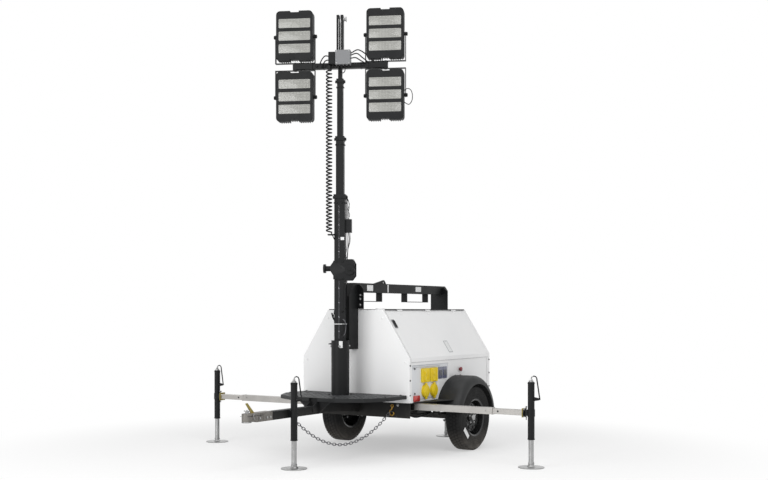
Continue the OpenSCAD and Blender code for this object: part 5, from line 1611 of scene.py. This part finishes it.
@dataclass
class Lamps:
    """Four flood lamps on their crossbar: lens sheets, lenses, screws, knobs, glands and leads.

    Attributes:
        shop: The workshop.
        mast: The mast whose turned axes the lamps share.
        band: Width and height of a row of lights.
        band_rise: Height of the outer rows above and below the middle one.
        face: Distance of a lamp's front in front of its tilt axis.
        recess: Distance of a row's floor in front of the tilt axis.
        bar_z: Height of the crossbar's axis.
    """

    shop: Workshop
    mast: Mast
    band: tuple[float, float] = (0.290, 0.084)
    band_rise: float = 0.113
    face: float = 0.0528
    recess: float = 0.0498
    bar_z: float = 3.518

    def build(self) -> None:
        """Builds the four lamps and what joins them to the mast head."""
        for level in ("upper", "lower"):
            for side in ("left", "right"):
                self._lamp(level, side)
        self._junction_box()
        self._head()

    def _lamp(self, level: str, side: str) -> None:
        """Builds one lamp's pieces."""
        name = f"{level}_{side}"
        joint = next(j for j in self.shop.frame["record"]["behaviour"]["joints"] if j["name"] == f"tilt_{name}")
        pivot = Vector(joint["pos_m"])
        body = f"flood_{name}"
        up = 1 if level == "upper" else -1
        a = math.radians(self.mast.turn)
        forward = self.mast.aim(0, -1, 0)
        across = self.mast.aim(1, 0, 0)
        turn = Matrix.Rotation(a, 4, "Z") @ Matrix.Rotation(math.radians(90), 4, "X")
        low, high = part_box(f"lamp_{name}")
        middle = Vector((pivot.x, pivot.y, (low.z + high.z) / 2))
        domes = []
        for row in (-1, 0, 1):
            centre = middle + Vector((0, 0, row * self.band_rise)) + forward * self.recess
            sheet = Shape.slab("sheet", rounded(self.band[0] - 0.002, self.band[1] - 0.002, 0.008), -0.0005, 0.0012,
                               0.0003)
            self.shop.piece(f"lens_sheet_{name}_{row + 2}", sheet, LENS_SHEET, body, "",
                            Matrix.Translation(centre) @ turn)
            for i in range(21):
                for j in range(6):
                    at = (centre + across * ((i - 10) * 0.0133) + Vector((0, 0, (j - 2.5) * 0.0132))
                          + forward * 0.0012)
                    domes.append(Spot(at, forward))
        dome = Shape.turned("dome", [(0.0052, 0.0), (0.0049, 0.0012), (0.0036, 0.0024), (0.0014, 0.003)], 8)
        # The domes' lighter colour and faint glow are a painted highlight
        self.shop.placed(f"lens_domes_{name}", dome, domes, LENS_DOME, body)
        if name == "lower_right":
            loop = [pivot + across * x + Vector((0, 0, z)) for x, z in
                    ((0.168, 0.040), (0.196, 0.058), (0.226, 0.044), (0.240, 0.004), (0.237, -0.048), (0.214, -0.082),
                     (0.190, -0.078), (0.168, -0.062))]
            self.shop.lead("lamp_side_lead", loop, 0.007, (body,))
        self._rim_screws(name, body, middle, forward, across)
        self._knobs(name, pivot, across)
        self._back(name, body, pivot, forward, across, up)

    def _rim_screws(self, name: str, body: str, middle: Vector, forward: Vector, across: Vector) -> None:
        """Sets the screws round a lamp's front frame."""
        screw = Shape.head("lamp_screw")
        spots = []
        for x in (-0.156, 0.156):
            for z in (-0.2, -0.0565, 0.0565, 0.2):
                spots.append(Spot(middle + across * x + Vector((0, 0, z)) + forward * self.face,
                                  forward))
        for z in (-0.2, 0.2):
            spots.append(Spot(middle + Vector((0, 0, z)) + forward * self.face, forward))
        self.shop.placed(f"lamp_screws_{name}", screw, spots, LAMP_COAT, body, "lamp_body")

    def _knobs(self, name: str, pivot: Vector, across: Vector) -> None:
        """Fits the tilt knobs to both ends of a yoke."""
        knob = [(0.011, 0.0), (0.011, 0.004), (0.0165, 0.0045), (0.0175, 0.010), (0.016, 0.016), (0.008, 0.0185),
                (0.001, 0.019)]
        reach = (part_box(f"yoke_{name}")[1].x - pivot.x) / math.cos(math.radians(self.mast.turn))
        spots = []
        for s in (-1, 1):
            spots.append(Spot(pivot + across * (s * min(reach - 0.012, 0.186)), across * s))
        self.shop.placed(f"tilt_knobs_{name}", Shape.turned("knob", knob, 12), spots, BLACK_RUBBER_AND_SHADE,
                         f"bracket_{name}")

    def _back(self, name: str, body: str, pivot: Vector, forward: Vector, across: Vector, up: int) -> None:
        """Fits the gland on a lamp's driver box and lays its lead down to the yoke and on to the mast head."""
        exit_point = pivot - forward * 0.040 - Vector((0, 0, up * 0.104))
        gland = Shape.turned("gland", [(0.0105, 0.0), (0.0105, 0.007), (0.009, 0.008), (0.0085, 0.014),
                                       (0.006, 0.017)], 12)
        down = Vector((0, 0, -up))
        self.shop.placed(f"lamp_gland_{name}", gland, [Spot(pivot - forward * 0.036 - Vector((0, 0, up * 0.0895)),
                                                            down)], BLACK_RUBBER_AND_SHADE, body)
        bar = Vector((pivot.x, pivot.y, self.bar_z))
        to_mast = across * (-0.06 if (bar - self.mast.middle).dot(across) > 0 else 0.06)
        yoke_point = bar + to_mast * 0.6 - forward * 0.052 + Vector((0, 0, up * 0.034))
        self.shop.lead(f"lamp_lead_{name}",
                       [exit_point, exit_point - forward * 0.012 - Vector((0, 0, up * 0.03)),
                        yoke_point - forward * 0.012 + Vector((0, 0, up * 0.05)), yoke_point],
                       0.008, (body, f"bracket_{name}"))
        inner = bar + to_mast * 2.2 - forward * 0.034 + Vector((0, 0, up * 0.010))
        self.shop.lead(f"head_lead_{name}",
                       [yoke_point, (yoke_point + inner) / 2 - Vector((0, 0, 0.006)), inner],
                       0.008, (f"bracket_{name}", "mast_4"))

    def _junction_box(self) -> None:
        """Screws the junction box's lid, fits its glands and leads the cables out of it."""
        m = self.mast
        front = -0.104
        forward = m.aim(0, -1, 0)
        screw = Shape.head("junction_screw")
        spots = [Spot(m.at(x, front, z), forward) for x in (-0.018, 0.093) for z in (3.524, 3.629)]
        self.shop.placed("junction_screws", screw, spots, ZINC_ROUND, "mast_4", "zinc_steel")
        gland = Shape.turned("gland", [(0.011, 0.0), (0.011, 0.008), (0.0095, 0.009), (0.0085, 0.016),
                                       (0.005, 0.02)], 12)
        low = [Spot(m.at(x, -0.07, 3.512), (0, 0, -1)) for x in (-0.01, 0.022, 0.054, 0.086)]
        self.shop.placed("junction_glands", gland, low, BLACK_RUBBER_AND_SHADE, "mast_4")
        for number, x in enumerate((0.022, 0.054)):
            start, end = Vector((x, -0.07, 3.4683)), Vector((x * 0.3 - 0.01, -0.05, 3.4683))
            middle, arm = (start + end) / 2, (start - end) / 2
            points = [m.at(x, -0.07, z) for z in (3.494, 3.4855, 3.477)]
            for degrees in range(0, 181, 30):
                angle = math.radians(degrees)
                points.append(m.at(*(middle + arm * math.cos(angle) - Vector((0, 0, arm.length * math.sin(angle))))))
            self.shop.lead(f"junction_lead_{number + 1}", points, 0.008, ("mast_4",))

    def _head(self) -> None:
        """Lays the crossbar's leads and the top post's ropes, and sets the bar's bolts and ties."""
        m = self.mast
        arcs = (((0.104, -0.06, 3.60), (0.16, -0.066, 3.612), (0.21, -0.058, 3.575), (0.262, -0.027, 3.538)),
                ((0.104, -0.07, 3.57), (0.15, -0.078, 3.572), (0.19, -0.07, 3.55), (0.235, -0.027, 3.53)),
                ((0.104, -0.05, 3.62), (0.17, -0.05, 3.648), (0.25, -0.04, 3.60), (0.31, -0.027, 3.54)),
                ((-0.095, -0.06, 3.595), (-0.128, -0.065, 3.597), (-0.157, -0.052, 3.573), (-0.18, -0.027, 3.54)),
                ((-0.095, -0.07, 3.56), (-0.124, -0.077, 3.549), (-0.147, -0.063, 3.519), (-0.165, -0.027, 3.50)))
        for number, points in enumerate(arcs):
            self.shop.lead(f"crossbar_lead_{number + 1}", [m.at(*p) for p in points], 0.0105, ("mast_4",))
        for number, x in enumerate((-0.009, 0.009)):
            self.shop.rod(f"post_rope_{number + 1}", [m.at(x, -0.0325, 3.64), m.at(x, -0.0325, 3.93)],
                          0.0025, ZINC_ROUND, "mast_4", "zinc_steel", 1, 8)
        bolt = Shape.head("post_bolt")
        spots = [Spot(m.at(x, -0.025, self.bar_z), m.aim(0, -1, 0)) for x in (-0.21, 0.21)]
        self.shop.placed("crossbar_bolts", bolt, spots, BLACK_PAINT, "mast_4", "black_steel")
        for number, x in enumerate((-0.25, -0.15, 0.19, 0.26)):
            h = 0.0268
            loop = [m.at(x, y, self.bar_z + z) for y, z in ((-h, -h), (-h, h), (h, h), (h, -h), (-h, -h))]
            self.shop.rod(f"crossbar_tie_{number + 1}", loop, 0.0022, BLACK_RUBBER_AND_SHADE, "mast_4", "",
                          1, 6)


@dataclass
class LiftingFrame:
    """Bare labels, stripe and bolts of the beam that lifts the tower.

    Attributes:
        shop: The workshop.
    """

    shop: Workshop

    def build(self) -> None:
        """Builds every fitting."""
        face = 0.0375
        side = Matrix.Rotation(math.radians(90), 4, "Z") @ Matrix.Rotation(math.radians(90), 4, "X")
        labels = (("front", 0.0685, 1.531, 0.101, 0.054), ("rear", 0.9455, 1.533, 0.107, 0.048))
        for name, y, z, width, height in labels:
            label = Shape.plate("label", width, height, 0.0007, 0.003)
            self.shop.piece(f"bare_label_{name}", label, WHITE_VINYL, "root", "",
                            Matrix.Translation((face, y, z)) @ side)
        stripe = Shape.plate("stripe", 0.018, 0.074, 0.0006, 0.0)
        self.shop.piece("beam_stripe", stripe, WHITE_VINYL, "root", "", Matrix.Translation((face, 0.381, 1.531)) @ side)
        bolt = Shape.head("flange_bolt")
        front, rear = -0.136, 1.438
        spots = [Spot((s * 0.065, front, z), (0, -1, 0)) for s in (-1, 1) for z in (1.372, 1.427, 1.463)]
        spots += [Spot((s * 0.065, rear, z), (0, 1, 0)) for s in (-1, 1) for z in (1.372, 1.427, 1.463)]
        self.shop.placed("beam_flange_bolts", bolt, spots, ZINC_ROUND, "root", "zinc_steel")


# Studio and main

@dataclass(frozen=True)
class Studio:
    """Camera, floor, lamps and white surroundings of the product photograph.

    Attributes:
        camera_at: Where the camera stands.
        camera_turn: Its heading in degrees.
        lens: Focal length for a 36 mm sensor.
        rise: Vertical shift of the lens.
    """

    camera_at: Point = (5.478, -8.178, 1.311)
    camera_turn: float = 32.66
    lens: float = 49.73
    rise: float = 0.0933

    def build(self) -> None:
        """Sets up the scene's camera, floor and light."""
        self._camera()
        self._floor()
        self._lamps()
        self._world()
        scene = bpy.context.scene
        scene.render.engine = "CYCLES"
        scene.cycles.samples = 160
        scene.cycles.use_denoising = True
        scene.cycles.max_bounces = 8
        scene.view_settings.view_transform = "Standard"
        scene.view_settings.look = "None"
        scene.render.resolution_x, scene.render.resolution_y = 768, 480

    def _camera(self) -> None:
        """Stands the camera level with its lens shifted up."""
        data = bpy.data.cameras.new("camera")
        data.lens, data.sensor_width, data.shift_y = self.lens, 36.0, self.rise
        camera = bpy.data.objects.new("camera", data)
        camera.location = self.camera_at
        camera.rotation_euler = (math.radians(90), 0, math.radians(self.camera_turn))
        bpy.context.scene.collection.objects.link(camera)
        bpy.context.scene.camera = camera

    @staticmethod
    def _floor() -> None:
        """Lays a pale floor that keeps the object's soft shadow and fades to white far away."""
        mesh = bpy.data.meshes.new("floor")
        mesh.from_pydata([(-30, -30, 0), (30, -30, 0), (30, 30, 0), (-30, 30, 0)], [], [(0, 1, 2, 3)])
        floor = bpy.data.objects.new("floor", mesh)
        bpy.context.scene.collection.objects.link(floor)
        made = bpy.data.materials.new("studio_floor")
        made.use_nodes = True
        tree = made.node_tree
        tree.nodes.clear()
        pale = add(tree, "ShaderNodeBsdfDiffuse", {"Color": (0.96, 0.96, 0.96, 1)})
        white = add(tree, "ShaderNodeEmission", {"Color": (1, 1, 1, 1), "Strength": 1.0})
        where = add(tree, "ShaderNodeTexCoord").outputs["Object"]
        middle = add(tree, "ShaderNodeVectorMath", {0: where, 1: (0.0, 0.0, 0.0)}, operation="DISTANCE")
        far = add(tree, "ShaderNodeMapRange", {"Value": middle.outputs["Value"], "From Min": 2.0, "From Max": 4.2,
                                               "To Min": 0.45}, interpolation_type="SMOOTHSTEP")
        mixed = add(tree, "ShaderNodeMixShader", {0: far.outputs["Result"], 1: pale.outputs["BSDF"],
                                                  2: white.outputs["Emission"]})
        add(tree, "ShaderNodeOutputMaterial", {"Surface": mixed.outputs["Shader"]})
        mesh.materials.append(made)

    @staticmethod
    def _lamps() -> None:
        """Hangs three large soft lamps: the key on the right, a front light on the left and a top light above."""
        lamps = (("key", (5.5, -3.5, 5.5), (0.2, 0.4, 1.2), 5.0, 250.0),
                 ("front", (-1.5, -8.0, 4.0), (0.0, 0.2, 1.3), 5.0, 350.0),
                 ("top", (0.0, 0.5, 8.0), (0.0, 0.5, 0.0), 6.0, 90.0))
        for name, at, aim, size, power in lamps:
            data = bpy.data.lights.new(name, "AREA")
            data.size, data.energy = size, power
            lamp = bpy.data.objects.new(name, data)
            lamp.location = at
            lamp.rotation_euler = (Vector(aim) - Vector(at)).to_track_quat("-Z", "Y").to_euler()
            bpy.context.scene.collection.objects.link(lamp)

    @staticmethod
    def _world() -> None:
        """Shows white behind the object and in reflections, and lights the object a little less."""
        world = bpy.data.worlds.new("studio")
        world.use_nodes = True
        tree = world.node_tree
        tree.nodes.clear()
        path = add(tree, "ShaderNodeLightPath")
        seen = add(tree, "ShaderNodeMath", {0: path.outputs["Is Camera Ray"], 1: path.outputs["Is Transmission Ray"]},
                   operation="MAXIMUM")
        seen = add(tree, "ShaderNodeMath", {0: seen.outputs["Value"], 1: path.outputs["Is Glossy Ray"]},
                   operation="MAXIMUM")
        light = add(tree, "ShaderNodeBackground", {"Color": (1, 1, 1, 1), "Strength": 0.42})
        white = add(tree, "ShaderNodeBackground", {"Color": (1, 1, 1, 1), "Strength": 1.0})
        mixed = add(tree, "ShaderNodeMixShader", {0: seen.outputs["Value"], 1: light.outputs["Background"],
                                                  2: white.outputs["Background"]})
        add(tree, "ShaderNodeOutputWorld", {"Surface": mixed.outputs["Shader"]})
        bpy.context.scene.world = world


def main() -> None:
    """Builds the whole tower and its studio."""
    logging.basicConfig(level=logging.INFO, format="%(name)s: %(message)s")
    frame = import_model()
    shop = Workshop(frame)
    mast = Mast(shop)
    for part in (Skins(shop), Wheels(shop), Cabinet(shop), Chassis(shop), Outriggers(shop), mast, Lamps(shop, mast),
                 LiftingFrame(shop)):
        count = len(shop.made)
        part.build()
        LOG.info("%s built %d pieces", type(part).__name__, len(shop.made) - count)
    Studio().build()


if __name__ == "__main__":
    main()
